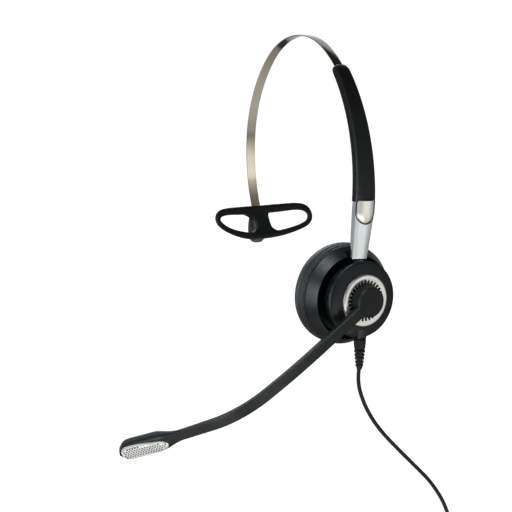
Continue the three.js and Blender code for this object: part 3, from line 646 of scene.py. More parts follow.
MATERIAL = {
    "sleeve": moulded("sleeve_black", (0.0042, 0.0043, 0.0044), 0.48, 0.2, 0.008),
    "satin": moulded("satin_black", (0.0045, 0.0052, 0.0062), 0.36, 0.24, 0.006, 5200.0),
    "boom": moulded("boom_black", (0.0052, 0.0055, 0.0060), 0.40, 0.2, 0.008),
    "rubber": rubber("t_bar_rubber", (0.0022, 0.0025, 0.0028), 0.42, 0.13),
    "relief": rubber("relief_rubber", (0.0150, 0.0160, 0.0165), 0.6, 0.1),
    "acetal": moulded("black_acetal", (0.004, 0.004, 0.0045), 0.5, 0.3),
    "strip": brushed("band_steel", BAND_PAINTED_REFLECTIONS, 0.10),
    "bracket": satin_metal("bracket_grey", (0.19, 0.194, 0.196), 0.5, 0.0, 0.3),
    "chrome": polished("arm_chrome", (0.86, 0.89, 0.90), 0.13),
    "champagne": polished("tongue_satin", (0.96, 0.94, 0.87), 0.26, 0.0008),
    "silver": polished("ring_silver", (0.97, 0.955, 0.90), 0.18, 0.002, 0.7),
    "grille": polished("grille_silver", (0.97, 0.98, 0.96), 0.2, 0.003, 0.75),
    "steel": satin_metal("plain_steel", (0.55, 0.56, 0.58), 0.3, 1.0),
    "magnet": satin_metal("magnet_nickel", (0.32, 0.33, 0.34), 0.36, 1.0),
    "gold": satin_metal("gold_contacts", (0.75, 0.52, 0.2), 0.25, 1.0),
    "leather": leatherette(),
    "foam": foam(),
    "cord": jacket(),
    "thread": moulded("seam_thread", (0.05, 0.05, 0.052), 0.5, 0.4),
    "board": board_material(),
    "film": film_material(),
}


def dressed(obj, material, body=None, nodes=()):
    """Gives a piece its material and, unless it is a CAD node, its body; hides the CAD nodes it
    replaces.
    """
    obj.data.materials.clear()
    obj.data.materials.append(MATERIAL[material])
    if body:
        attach(obj, body)
    if nodes:
        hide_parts(*nodes)
    return obj


# ---------------------------------------------------------------- cord

CORD_DIAMETER = 2.2
COIL = {"x": 41.9, "y": 77.0, "z": -306.0, "radius": 13.0, "pitch": 2.45, "side": 3, "last": 22}
JOIN_ANGLE = 25.0  # where the lead meets the coil, from its top
LEAD_POINTS = [
    (54.03, 2.4, -182.4), (53.95, 2.4, -183.5), (53.6, 2.4, -186.6), (53.2, 2.8, -190.5),
    (52.7, 4, -194.8), (52.2, 6, -199.3), (51.6, 8.6, -204), (51, 11.8, -208.7),
    (50.3, 15.7, -213.5), (49.6, 20.3, -218.4), (48.9, 25.6, -223.4), (48.2, 31.5, -228.5),
    (47.4, 37.7, -233.7), (46.6, 44, -238.9), (45.8, 50.4, -244.2), (45, 56.9, -249.8),
    (44, 63.5, -256.6), (43.2, 69.2, -264), (42.8, 73.4, -272), (42.8, 76, -279.5),
]
TAIL_POINTS = [
    (38.7, 87.0, -302.6), (37.3, 87.6, -305.2), (35.9, 88.3, -307.6), (34.6, 89.1, -309.9),
    (33.8, 89.8, -312.1), (33.6, 90, -314.4),
]


def coil_slots():
    """(radius, x) of each turn: layer by layer from the outside, to and fro."""
    count, pitch = COIL["side"], COIL["pitch"]
    out = []
    for layer in range(count):
        radius = COIL["radius"] + pitch * ((count - 1) / 2 - layer)
        xs = [COIL["x"] + pitch * ((count - 1) / 2 - i) for i in range(count)]
        out += [(radius, x) for x in (xs if layer % 2 == 0 else xs[::-1])]
    return out


def coil_point(angle, slots):
    """A point of the winding at an angle in degrees from where the lead joins."""
    turn = min(int(angle // 360), len(slots) - 1)
    shift = smoothstep(angle - 360 * turn, 285, 360) if turn < len(slots) - 1 else 0
    here, there = slots[turn], slots[min(turn + 1, len(slots) - 1)]
    radius, x = (mix(h, t, shift) for h, t in zip(here, there))
    a = (angle + JOIN_ANGLE) * RAD
    return Vector((x, COIL["y"] + radius * math.sin(a), COIL["z"] + radius * math.cos(a)))


def cord_route():
    """The cord's centre line: down from the hub, round the coil and on to the plug."""
    slots = coil_slots()
    join = coil_point(0, slots)
    reach = 90 - JOIN_ANGLE
    bend = (join.y - COIL["y"]) / (1 - cosd(reach))
    entry = [
        (
            mix(COIL["x"] + 1.0, join.x, smoothstep(turn, 0, reach)),
            COIL["y"] + bend * (1 - cosd(turn)),
            join.z + bend * (sind(reach) - sind(turn)),
        )
        for turn in steps(14, reach, 4)[:-1]
    ]
    wound = [coil_point(a, slots) for a in range(0, len(slots) * 360 + COIL["last"], 10)]
    lead = catmull([*LEAD_POINTS, *entry, wound[0]])[:-1]
    tail = catmull([wound[-1], *TAIL_POINTS])[1:]
    return [*lead, *wound, *tail]


def cord_curve():
    route = cord_route()
    data = bpy.data.curves.new("cord", "CURVE")
    data.dimensions = "3D"
    data.bevel_depth = CORD_DIAMETER / 2 * MM
    data.bevel_resolution = 5
    data.use_fill_caps = True
    spline = data.splines.new("POLY")
    spline.points.add(len(route) - 1)
    spline.points.foreach_set("co", [c for p in route for c in (*(p * MM), 1)])
    spline.use_smooth = True
    return link(bpy.data.objects.new("cord", data))


def cord_tie():
    """A flat hook-and-loop strap round the bundle at the coil's foot."""
    low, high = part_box("cord_tie")
    centre = (low + high) / 2 / MM
    half = (high.x - low.x) / 2 / MM
    strap = section(3.0, -1, 1, 0.5, 3)
    rings = []
    for turn in steps(0, 350, 70):
        c, d = cosd(turn), sind(turn)
        reach = (half - 0.55) / mix(1.0, max(abs(c), abs(d)), 0.72)
        lift = 0.5 * smoothstep(turn, 250, 350)
        radial = Vector((c, 0, d))
        rings.append(
            [centre + radial * (reach + lift + v * 0.42) + Vector((0, u, 0)) for u, v in strap]
        )
    return loft("tie_strap", rings)


def plug_rings(rows):
    """Rounded rectangles down the plug from (down, width, depth, corner radius) rows."""
    low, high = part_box("plug_housing")
    centre = (low + high) / 2 / MM
    return [
        [
            (centre.x + v, centre.y + u, high.z / MM - down)
            for u, v in section(width, -depth / 2, depth / 2, radius, 5)
        ]
        for down, width, depth, radius in rows
    ]


def plug_housing():
    """The plug's body, with a waist of grip ribs and a mouth for the mating half."""
    rows = [(0, 5.6, 4.8, 2.2), (0.35, 6.6, 5.5, 2.4), (2.4, 9.2, 6.3, 2.4), (5.2, 10.7, 6.55, 2.0)]
    crest, groove = (10.8, 6.55, 1.8), (10.3, 6.0, 1.6)
    for i in range(5):
        at = 7.2 + 1.9 * i
        rows += [(at, *crest), (at + 0.25, *groove), (at + 0.85, *groove), (at + 1.1, *crest)]
    rows += [(17.8, 10.95, 6.6, 1.5), (29.2, 10.95, 6.6, 1.4)]
    rows += [(29.7, 10.7, 6.35, 1.3), (30, 10.2, 5.8, 1.2)]
    body = loft("plug_body", plug_rings(rows), angle=40)
    mouth = loft("mouth", plug_rings([(21, 7.6, 3.4, 0.5), (31, 7.6, 3.4, 0.5)]))
    return smooth(boolean(body, [mouth]), 32)


def plug_latch():
    low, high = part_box("plug_housing")
    centre = (low + high) / 2 / MM
    top, face = high.z / MM - 19.5, high.x / MM - 0.35
    rows = [(0, 1.2, 0.1), (0.4, 1.8, 0.35), (2.5, 2.0, 0.55), (6.0, 2.0, 0.4), (6.4, 1.7, 0.1)]
    rings = []
    for down, half, rise in rows:
        outline = section(2 * half, -0.3, rise + 0.1, 0.3, 3)
        rings.append([(face + v, centre.y + u, top - down) for u, v in outline])
    return loft("plug_latch", rings)


def plug_relief():
    """The plug's short ribbed sleeve round the cord."""
    low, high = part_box("plug_strain_relief")
    place = placed((low.x / 2 + high.x / 2, low.y / 2 + high.y / 2, high.z), (0, 0, -1))
    line = [(0, 0), (0, 1.5, 0.2)]
    for i in range(4):
        at, r = 1.2 + 1.7 * i, mix(1.65, 2.35, i / 3)
        line += [(at, r - 0.1), (at, r - 0.55), (at + 0.6, r - 0.5), (at + 0.6, r)]
    line += [(8.6, 2.58, 0.2), (9.0, 2.3), (9.0, 0)]
    return turned("plug_relief", line, place, 48)


def build_cord():
    cord = cord_curve()
    dressed(cord, "cord", "hub", ("cord_lead", "cord_coil", "cord_tail"))
    tie = dressed(cord_tie(), "relief", "hub", ("cord_tie",))
    body = dressed(plug_housing(), "satin", "hub", ("plug_housing",))
    latch = dressed(plug_latch(), "satin", "hub", ())
    relief = dressed(plug_relief(), "relief", "hub", ("plug_strain_relief",))
    dressed(frame["nodes"]["plug_contacts"], "gold")


build_cord()

# ---------------------------------------------------------------- headband

STRIP = {"width": 5.8, "thickness": 0.7, "shown": 0.56}
CROWN_RADIUS = 44.85
LEFT_ARCS = [(44.85, 45.0), (70.0, 85.0), (95.0, 112.5)]
SLIDE = {"x": -41.34, "z": -82.91, "radius": 102.5}
RIGHT_ARCS = {"leave": 35.0, "blend": 72.8, "meet": 58.5, "end": 87.0}


def on_arc(x, z, radius, angle):
    return x + radius * sind(angle), z + radius * cosd(angle), angle


def on_slide(angle):
    """A point of the arc the sleeve slides on."""
    return on_arc(SLIDE["x"], SLIDE["z"], SLIDE["radius"], angle)


def strip_path():
    """(x, z, angle) down the strip's middle, from its free end over the crown to the sleeve."""
    crown = STRIP["thickness"] / 2 - CROWN_RADIUS
    left = []
    x, z, start, radius = 0.0, crown, 0.0, CROWN_RADIUS
    for size, to in LEFT_ARCS:
        shift = radius - size
        x, z = x - shift * sind(start), z + shift * cosd(start)
        left += [on_arc(x, z, size, -a) for a in steps(start, to, int((to - start) / 1.5) + 1)]
        start, radius = to, size
    blend, leave, meet = (RIGHT_ARCS[key] for key in ("blend", "leave", "meet"))
    reach = blend - CROWN_RADIUS
    centre = (-reach * sind(leave), crown - reach * cosd(leave))
    right = [on_arc(0, crown, CROWN_RADIUS, a) for a in steps(0, leave, 24)]
    right += [on_arc(*centre, blend, a) for a in steps(leave, meet - 1, 16)]
    right += [on_slide(a) for a in steps(meet, RIGHT_ARCS["end"], 20)]
    path = [*left[::-1], *right]
    return [p for i, p in enumerate(path) if not i or math.dist(p[:2], path[i - 1][:2]) > 0.4]


def ring_across(point, outline):
    """Section points across an arc in the XZ plane: u along Y, v out from its centre."""
    x, z, angle = point
    s, c = sind(angle), cosd(angle)
    return [(x + v * s, u, z + v * c) for u, v in outline]


def headband_strip():
    half = STRIP["shown"] / 2
    outline = section(STRIP["width"], -half, half, 0.14, 4)
    small = section(STRIP["width"] - 0.5, -half + 0.1, half - 0.1, 0.2, 4)
    path = strip_path()
    rings = [ring_across(p, outline) for p in path]
    for end in (0, -1):
        rings[end] = ring_across(path[end], small)
    return loft("band_strip", rings, angle=50)


T_BAR_PIVOT = Vector(JOINTS["t_bar_tilt"]["pos_m"])
BRACKET_ROWS = [
    0, 0.3, 1.2, 2.5, 4, 6, 8, 10, 12, 14, 15.5, 17, 18.4, 19.4, 20.2, 20.7, 20.95, 21.0,
]


def bracket():
    """The tongue at the strip's free end, thicker down its middle."""
    low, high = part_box("t_bar_bracket")
    top, x = high.z / MM, low.x / MM
    rings = []
    for down in BRACKET_ROWS:
        neck = mix(3.4, 5.5, smoothstep(down, 0.5, 13.5))
        foot = max(0.0, down - 15.5) / 5.55
        half = neck * max(0.01, 1 - foot**2.6) ** (1 / 2.6)
        if down < 0.2:
            half -= 0.35
        crown = 0.45 * half / 5.5
        front = [(half * cosd(t), 1.0 + crown * sind(t) ** 0.8) for t in steps(4, 176, 22)]
        back = [(-half + 0.15, 0.12), (-half + 0.5, 0), (half - 0.5, 0), (half - 0.15, 0.12)]
        shift = x + down * tand(6.5)
        rings.append([(shift + v, u, top - 0.1 - down) for u, v in [*front, *back]])
    plate = loft("bracket_plate", rings, angle=40)
    across, height = T_BAR_PIVOT.x / MM, T_BAR_PIVOT.z / MM
    boss = rod("boss", 1.9, -2, 2, crosswise(T_BAR_PIVOT), 40, 0.25)
    arm = block(((x + 1.9, across), (-2, 2), (height - 1.85, height + 1.85)), ROW)
    boolean(plate, [boss, arm], "UNION")
    return bevelled(plate, 0.12, 2, 40)


def rivet():
    low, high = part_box("bracket_rivet")
    place = placed((0, (low.y + high.y) / 2, (low.z + high.z) / 2), (1, 0, 0))
    line = [
        (-49.4, 0), (-49.4, 0.7, 0.3), (-49.1, 1.35, 0.4), (-48.7, 1.5), (-48.7, 0.8),
        (-45.9, 0.8), (-45.7, 0.6), (-45.7, 0),
    ]
    return turned("rivet", line, place, 40)


def build_headband():
    dressed(headband_strip(), "strip", "headband", ("headband_strip",))
    dressed(bracket(), "bracket", "headband", ("t_bar_bracket",))
    dressed(rivet(), "steel", "headband", ("bracket_rivet",))


# ---------------------------------------------------------------- T-bar

T_BAR = {"lean": 20.0, "rear": -1.2, "front": 4.3, "round": 210.0, "roll": 3.0}
RIM_POINTS = [
    (0, -8.2), (12, -8.2), (24, -7.8), (30, -5.8), (32, -1.8), (30.4, 2), (25.5, 4.4),
    (16, 6.4), (6, 7.4), (-6, 7.6), (-16, 6.4), (-25.5, 3.6), (-31.4, 0), (-33, -3.4),
    (-30.4, -6.6), (-24, -7.9), (-12, -8.2),
]
# Rows of the web between the windows: down, then its reach to the left and to the right.
WEB_ROWS = [
    (-8.2, 14.5, 8.6), (-6.6, 12.4, 7.0), (-5.8, 10.6, 5.2), (-5.1, 9.1, 4.2), (-4.3, 8.0, 3.75),
    (-3.2, 7.1, 3.7), (-1.6, 6.5, 3.8), (0.5, 6.0, 4.0), (2.6, 6.1, 4.4), (3.9, 6.8, 5.1),
    (5.0, 8.0, 6.6), (6.0, 9.8, 8.7), (7.4, 12.4, 11.6),
]


def on_t_bar(y, down, n):
    """T-bar coordinates: y across, down its face, n towards the head."""
    pivot = T_BAR_PIVOT / MM
    s, c = sind(T_BAR["lean"]), cosd(T_BAR["lean"])
    v = down - y * tand(T_BAR["roll"])
    turn = y / T_BAR["round"]
    across = (T_BAR["round"] - n) * math.sin(turn)
    out = T_BAR["round"] - (T_BAR["round"] - n) * math.cos(turn)
    return (pivot.x + v * s + out * c, across, pivot.z - v * c + out * s)


def closed_curve(points, count, per_span=24):
    """Evenly spaced (point, tangent) pairs on a smooth loop."""
    p = [Vector((*q, 0)) for q in points]
    fine = [
        cubic(*(p[(i + j) % len(p)] for j in (-1, 0, 1, 2)), k / per_span)
        for i in range(len(p))
        for k in range(per_span)
    ]
    lengths = [0.0]
    for i in range(len(fine)):
        lengths.append(lengths[-1] + (fine[(i + 1) % len(fine)] - fine[i]).length)
    out = []
    i = 0
    for k in range(count):
        want = lengths[-1] * k / count
        while lengths[i + 1] < want:
            i += 1
        t = (want - lengths[i]) / (lengths[i + 1] - lengths[i])
        here, there = fine[i], fine[(i + 1) % len(fine)]
        out.append((here.lerp(there, t), (there - here).normalized()))
    return out


def t_bar():
    """The soft bar: a rolled rim round two windows, with a web between them."""
    rear, front = T_BAR["rear"], T_BAR["front"]
    rings = []
    for at, along in closed_curve(RIM_POINTS, 150):
        width = mix(3.3, 4.4, smoothstep(-at.y, 2, 8))
        slim = smoothstep(abs(at.x), 8, 30)
        outline = section(width, mix(rear, 1.2, slim), mix(front, 3.8, slim), 1.5, 4)
        rings.append([on_t_bar(at.x - along.y * u, at.y + along.x * u, n) for u, n in outline])
    rim = loft("rim", rings, loop=True)
    rings = []
    for v, left, right in WEB_ROWS:
        outline = section(left + right, rear + 0.35, front - 0.35, 0.9, 4)
        rings.append([on_t_bar(y + (right - left) / 2, v, n) for y, n in outline])
    bar = merged("t_bar_soft", [rim, loft("web", rings)])
    remeshed(bar, 0.36 * MM, 9)
    lean = math.radians(-T_BAR["lean"])
    face = placed(T_BAR_PIVOT, Vector((math.cos(lean), 0, -math.sin(lean))))
    hole = rod("hole", 2.3, -2.4, 2.4, crosswise(T_BAR_PIVOT))
    slot = block(((-4, 0.3), (-2.4, 2.4), (-3.4, 3.4)), face)
    return smooth(boolean(bar, [hole, slot]), 48)


def build_t_bar():
    dressed(t_bar(), "rubber", "t_bar", ("t_bar_frame",))
    pin = rod("t_bar_axle", 0.8, -3.7, 3.7, crosswise(T_BAR_PIVOT), 32, 0.15)
    dressed(pin, "steel", "t_bar", ("t_bar_pin",))


# ---------------------------------------------------------------- size slider and arm

SLEEVE = {
    "top": 50.9, "bottom": 94.9, "width_top": 9.3, "width_bottom": 13.4,
    "outer": 2.6, "inner": -2.2,
}
ARM = {"axis": 19.6, "top": 53.2, "bottom": 21.0}
TONGUE = {"half": 5.75, "foot": 46.9, "drop": 5.9, "shift": 0.62, "gap_left": 0.2}


def sleeve_ring(angle, low, high, radius, shrink=0.0, low_radius=None):
    share = (angle - SLEEVE["top"]) / (SLEEVE["bottom"] - SLEEVE["top"])
    width = mix(SLEEVE["width_top"], SLEEVE["width_bottom"], share) - shrink
    outline = section(width, low, high, radius, 7, low_radius)
    return ring_across(on_slide(angle), [(u + 0.5 * share, v) for u, v in outline])


def sleeve_angles():
    """(angle, rounding) down the sleeve, close together at its round upper end."""
    top, bottom = SLEEVE["top"], SLEEVE["bottom"]
    out = [(top + 3.0 * (cosd(30) - cosd(turn)), 1 - sind(turn)) for turn in steps(30, 90, 8)]
    out += [(a, 0.0) for a in steps(top + 3.4, bottom - 0.14, 48)]
    return [*out, (bottom - 0.07, 0.05), (bottom, 0.12)]


def sleeve_outer():
    rings = [
        sleeve_ring(angle, -1.0, SLEEVE["outer"] - 2.3 * drop, 2.3, 4.4 * drop, 0.25)
        for angle, drop in sleeve_angles()
    ]
    shell = loft("sleeve_shell", rings, angle=40)
    inside = section(6.5, -2, 0.75, 0.3, 2)
    angles = steps(SLEEVE["top"] - 1, SLEEVE["bottom"] + 1, 40)
    channel = loft("channel", [ring_across(on_slide(a), inside) for a in angles])
    return smooth(boolean(shell, [channel]), 36)


def sleeve_inner():
    rings = [
        sleeve_ring(angle, SLEEVE["inner"] + 0.5 * drop, -1.12, 0.42, 4.4 * drop)
        for angle, drop in sleeve_angles()
    ]
    return loft("sleeve_back", rings, angle=40)


def arm_outline(wide, half):
    """The arm's section: a crowned face between two creased shoulders, flat behind."""
    edge, low = wide - 1.5, half - 0.75
    face = [(edge * t, half - 0.75 * abs(t) ** 2.3) for t in steps(-1, 1, 20)]
    right = [
        (edge + 0.15, low - 0.12), (edge + 0.3, low - 0.18), (edge + 0.5, low - 0.17),
        (edge + 0.95, low - 0.42), (edge + 1.3, low - 0.8), (wide, low - 1.35),
        (wide, -half + 1.4), (wide - 0.4, -half + 0.45), (wide - 1.3, -half),
    ]
    return [*face, *right, *((-y, a) for y, a in reversed(right))]


def arm_ring(z, trim=0.0):
    share = (z - ARM["bottom"]) / (ARM["top"] - ARM["bottom"])
    width = mix(9.9, 13.0, min(1.0, share * 1.15)) - 2 * trim
    half = mix(2.5, 3.0, share) - trim
    lean = mix(-0.7, 0.65, share)
    return [(ARM["axis"] + a, y + lean, z) for y, a in arm_outline(width / 2, half)]


def tongue_cutter(extra, x0, x1, name="cutter"):
    """The tongue's outline, wider by extra, as a slab between two depths."""
    half, foot, drop = TONGUE["half"] + extra, TONGUE["foot"], TONGUE["drop"] + extra
    round_end = [(half * cosd(t), foot - drop * sind(t)) for t in steps(3, 177, 44)]
    outline = [(half, 60.0), (half, foot), *round_end, (-half, foot), (-half, 60.0)]
    shift = TONGUE["shift"] - TONGUE["gap_left"]
    return loft(name, [[(x, y + shift, z) for y, z in outline] for x in (x0, x1)], EAR)


def stem_place():
    return EAR @ Matrix.Translation((ARM["axis"], 0, 0))


def arm_shell():
    bottom, top, shift = ARM["bottom"], ARM["top"], TONGUE["shift"]
    rings = [
        arm_ring(bottom + 1.2 * (1 - cosd(t)), 0.95 * (1 - sind(t))) for t in steps(0, 90, 6)
    ]
    rings += [arm_ring(z) for z in steps(bottom + 1.6, top, 26)]
    rings += [arm_ring(top + 0.02, 0.7), arm_ring(top + 0.28, 0.7)]
    shell = loft("arm_body", rings, EAR, angle=30)
    floor = ARM["axis"] + 1.1
    sides = ((-9, shift - 5.9), (shift + 5.9, 9))
    corners = [block(((floor, 26), side, (47.5, 60))) for side in sides]
    bore = rod("bore", 2.2, 19, 29, stem_place(), 40, 0, "Z")
    boolean(shell, [tongue_cutter(0.5, floor, 26), *corners, bore])
    return bevelled(shell, 0.12, 3, 32)


def arm_tongue():
    """A satin tongue, crowned across its width, with a round foot."""
    half, foot, drop, top = TONGUE["half"], TONGUE["foot"], TONGUE["drop"], ARM["top"]
    rows = [(top + 0.4, half - 0.12, 0.12), (top + 0.3, half, 0.0)]
    rows += [(z, half, 0.0) for z in (51.5, 49.5, 48.3)]
    rows += [(foot - drop * sind(t), max(0.3, half * cosd(t)), 0.0) for t in steps(0, 88, 16)]
    rings = []
    for z, wide, trim in rows:
        share = wide / half
        crown = 2.1 * share
        front = []
        for t in steps(0, 180, 28):
            across = cosd(t)
            lift = 1 - abs(across) ** 2.4
            edge = 0.45 * smoothstep(1 - abs(across), 0, 0.12)
            front.append((wide * across, 1.15 + edge + crown * lift + 0.35 * share - trim))
        outline = [*front, (-wide, 1.12), (wide, 1.12)]
        rings.append([(ARM["axis"] + n, y + TONGUE["shift"], z) for y, n in outline])
    return loft("arm_tongue_face", rings, EAR, angle=45)


def tongue_shadow_plate():
    """A dark plate that floors the gap round the tongue: a painted shadow line standing in for the
    shade in that gap.
    """
    seam = tongue_cutter(0.44, ARM["axis"] + 1.12, ARM["axis"] + 1.5, "tongue_shadow_plate")
    return boolean(seam, [block(((19, 26), (-12, 12), (ARM["top"], 62)))])


def build_slider():
    dressed(sleeve_outer(), "sleeve", "size_slider", ("sleeve_outer_cover",))
    dressed(sleeve_inner(), "sleeve", "size_slider", ("sleeve_inner_cover",))
    dressed(arm_shell(), "chrome", "size_slider", ("arm_shell",))
    # The dark plate under the tongue is a painted shadow in the gap round it.
    dressed(tongue_shadow_plate(), "acetal", "size_slider", ())
    dressed(arm_tongue(), "champagne", "size_slider", ("arm_tongue",))
    stem = rod("swivel_stem", 1.9, 11.4, 28.7, stem_place(), 48, 0.2, "Z")
    dressed(stem, "steel", "size_slider", ("arm_swivel_stem",))


# ---------------------------------------------------------------- hub

RING_TEETH = 30
SKIRT_SLOTS = 12


def hub_rear():
    """The housing behind the cover, with slots round its skirt and a lug for the cup's pin."""
    line = [
        (16, 0), (16, 17.6, 0.4), (16.6, 18.9, 0.5), (18.2, 19.5, 0.5), (20.6, 19.6, 0.2),
        (20.6, 18.3, 0.2), (17.2, 17.6, 0.4), (17.2, 0),
    ]
    shell = turned("hub_back", line, EAR, 144)
    slot = ((19.2, 20.2), (-1.5, 1.5), (17, 21))
    numbers = [i for i in range(SKIRT_SLOTS) if i % (SKIRT_SLOTS // 2)]
    tools = [block(slot, ear_turned(360 * i / SKIRT_SLOTS)) for i in numbers]
    boolean(shell, [*tools, rod("bore", 3.8, 12, 25, stem_place(), 64, 0, "Z")])
    lug = block(((TILT_PIVOT - 1.6, 16.2), (-2.7, 2.7), (-1.7, 1.7)))
    boolean(shell, [lug], "UNION")
    return bevelled(shell, 0.1, 2, 34)


def hub_cover():
    """The domed cover, with a raised lip round its edge and a seat for the toothed ring."""
    line = [
        (20.9, 19.8, 0.1), (23.0, 20.15, 0.5), (23.6, 20.95, 0.25), (24.4, 21.0, 0.3),
        (25.2, 19.75, 1.6), (25.95, 17.6, 2.0), (26.35, 14.75, 0.25), (26.35, 12.4, 0.1),
        (24.2, 12.4, 0.1), (24.2, 14.4, 0.3), (23.8, 18.4, 0.5), (20.9, 18.5, 0.1),
    ]
    shell = turned("hub_dome", line, EAR, 160, closed=True)
    place = ear_turned(CORD_EXIT_ANGLE)
    tools = [
        block(((20.6, 26.5), (-2.94, 2.74), (-22.5, -16.05)), place),
        rod("bore", 3.3, 15, 25, stem_place(), 64, 0, "Z"),
    ]
    boolean(shell, tools)
    return bevelled(shell, 0.1, 2, 34)


def toothed_ring():
    """The silver ring: a standing wall, a rounded lip, and teeth pointing in."""
    line = [
        (26.5, 9.35, 0.1), (27.5, 9.35, 0.12), (27.95, 11.3, 0.3), (28.2, 12.2, 0.4),
        (28.15, 13.3, 0.35), (27.75, 14.0, 0.3), (26.4, 14.2, 0.1), (26.4, 12.45, 0.1),
    ]
    ring = turned("ring_teeth", line, EAR, 240, closed=True)
    half, foot, inside = 0.72, 10.6, 7.5
    round_end = [(-half * cosd(t), foot + half * sind(t)) for t in steps(20, 160, 6)]
    outline = [(-half, inside), (-half, foot), *round_end, (half, foot), (half, inside)]
    slot = [[(x, y, z) for y, z in outline] for x in (26, 31)]
    turns = [ear_turned((i + 0.5) * 360 / RING_TEETH) for i in range(RING_TEETH)]
    boolean(ring, [merged("slots", [loft("slot", slot, turn) for turn in turns])])
    return bevelled(ring, 0.1, 2, 40)


def gland():
    place = ear_turned(CORD_EXIT_ANGLE)
    rows = [
        (-21.8, 0.35, 25.2), (-21.65, 0.1, 25.2), (-21.4, 0, 25.2), (-20.4, 0, 25.35),
        (-19.2, 0, 25.6), (-17.6, 0, 25.95), (-16.3, 0, 26.1), (-16.1, 0.05, 26.1),
    ]
    rings = []
    for down, trim, high in rows:
        outline = section(5.76 - 2 * trim, 20.9 + trim, high - trim, 0.08, 5)
        rings.append([(x, y - 0.1, down) for y, x in outline])
    return loft("exit_block", rings, place, angle=40)


def strain_relief():
    """A tapered sleeve: a collar, then ribs joined by bridges that change sides."""
    place = ear_turned(CORD_EXIT_ANGLE) @ Matrix.Translation((CORD_AXIS, 0, 0))
    down = place @ Matrix.Rotation(90 * RAD, 4, "Y")
    core = [(22.1, 0), (22.1, 3.45, 0.2), (27.2, 3.05, 0.2), (27.45, 1.5), (37.2, 1.3), (37.2, 0)]
    pieces = [turned("core", core, down, 56)]
    ribs, first, pitch = 5, 28.25, 1.98
    for i in range(ribs):
        at = first + pitch * i
        outer = mix(3.05, 2.2, i / (ribs - 1))
        line = [(at, 1.0), (at, outer, 0.22), (at + 1.15, outer - 0.08, 0.22), (at + 1.15, 1.0)]
        pieces.append(turned("rib", line, down, 56, closed=True))
        wide = (-outer * 0.6 / 2, outer * 0.6 / 2)
        span = (-at - 0.1, -at + pitch - 1.05)
        for side in (-1, 1):
            reach = sorted((side * 1.0, side * (outer - 0.25)))
            size = (reach, wide, span) if i % 2 else (wide, reach, span)
            pieces.append(bevelled(block(size, place), 0.1, 1, 30, False))
    tip = [(36.9, 0), (36.9, 1.75, 0.2), (38.4, 1.55, 0.3), (39, 1.3, 0.1), (39, 0)]
    pieces.append(turned("tip", tip, down, 56))
    return smooth(merged("relief_sleeve", pieces), 32)


def build_hub():
    dressed(hub_rear(), "satin", "hub", ("hub_rear_housing",))
    dressed(hub_cover(), "satin", "hub", ("hub_cover",))
    dressed(toothed_ring(), "silver", "hub", ("hub_toothed_ring",))
    line = [(22, 6.4), (24.2, 6.4, 0.2), (24.2, 10.6, 0.3), (22, 10.6)]
    bearing = turned("bearing", line, EAR, 96, closed=True)
    dressed(bearing, "acetal", "hub", ("boom_bearing",))
    line = [(15, 2.2), (20.7, 2.2, 0.2), (20.7, 3.0, 0.3), (15, 3.0)]
    upright = stem_place() @ Matrix.Rotation(-90 * RAD, 4, "Y")
    bush = turned("bush", line, upright, 64, closed=True)
    dressed(bush, "relief", "hub", ("swivel_bush",))
    dressed(gland(), "sleeve", "hub", ("cord_gland",))
    dressed(strain_relief(), "relief", "hub", ("cord_strain_relief",))


# ---------------------------------------------------------------- ear cup


def cup_shell():
    """The dish behind the cushion: a wide sloping flange round a deep well."""
    line = [
        (11.6, 0), (11.6, 20.9, 0.6), (12.4, 21.9, 0.5), (15.6, 22.6, 0.6), (16.25, 23.1, 0.3),
        (16.3, 23.7, 0.4), (13.4, 25.5, 1.5), (10.3, 27.3, 0.8), (9.3, 27.6, 0.35),
        (9.05, 27.45, 0.1), (9.05, 27.15, 0.1), (10.5, 27.05, 0.1), (10.55, 25.8, 0.2),
        (12.4, 24.6, 0.3), (13.4, 23.4, 0.3),
        (10.7, 22.6, 0.3), (10.7, 0),
    ]
    shell = turned("cup_dish", line, CUP, 176)
    notch = block(((13.0, 18), (-6.2, 6.2), (19.5, 30)), CUP)
    boolean(shell, [notch])
    pivot = crosswise(JOINTS["cup_tilt"]["pos_m"])
    for low, high in ((-5.2, -3.2), (3.2, 5.2)):
        ear = rod("ear", 1.9, low, high, pivot, 40, 0.2)
        foot = block(((11.2, TILT_PIVOT), (low, high), (-1.9, 1.9)), CUP)
        boolean(shell, [ear, foot], "UNION")
    return bevelled(shell, 0.14, 3, 34)


def speaker_plate():
    """The plate the cushion sits on, with three rings of holes in front of the speaker."""
    line = [
        (3, 0), (3, 12.8, 0.3), (3.6, 13.5, 0.2), (9.4, 13.5, 0.2), (9.4, 26.5, 0.15),
        (9.85, 26.9, 0.2), (10.3, 26.7, 0.15), (10.3, 12.3, 0.2), (4.2, 12.3, 0.2), (4.2, 0),
    ]
    plate = turned("baffle", line, CUP)
    holes = []
    for radius, count in ((0, 1), (4.2, 6), (8.4, 12)):
        for i in range(count):
            turn = 2 * math.pi * i / count
            shift = Matrix.Translation((0, radius * math.cos(turn), radius * math.sin(turn)))
            holes.append(rod("hole", 1.0, 2, 5, CUP @ shift, 20))
    return smooth(boolean(plate, [merged("holes", holes)]), 32)


CUSHION = [
    (9.1, 26.2, 0.5), (8.4, 27.2, 0.6), (5.5, 27.5, 2), (2, 27.4, 2), (-1.2, 26.4, 2),
    (-3.6, 24.2, 1.6), (-4.5, 21.6, 2), (-4.5, 18.6, 2), (-3.8, 16.2, 1.2), (-1.6, 14.8, 1.4),
    (2, 14.3, 2), (8.4, 14.2, 0.5), (9.1, 15, 0.4),
]
SEAM_AT = 5.6
SWELL = 10.0  # the simulation runs at ten times size
LAST_FRAME = 20


def places(mesh):
    """The mesh's vertices as rows of coordinates."""
    flat = np.empty(len(mesh.vertices) * 3)
    mesh.vertices.foreach_get("co", flat)
    return flat.reshape(-1, 3)


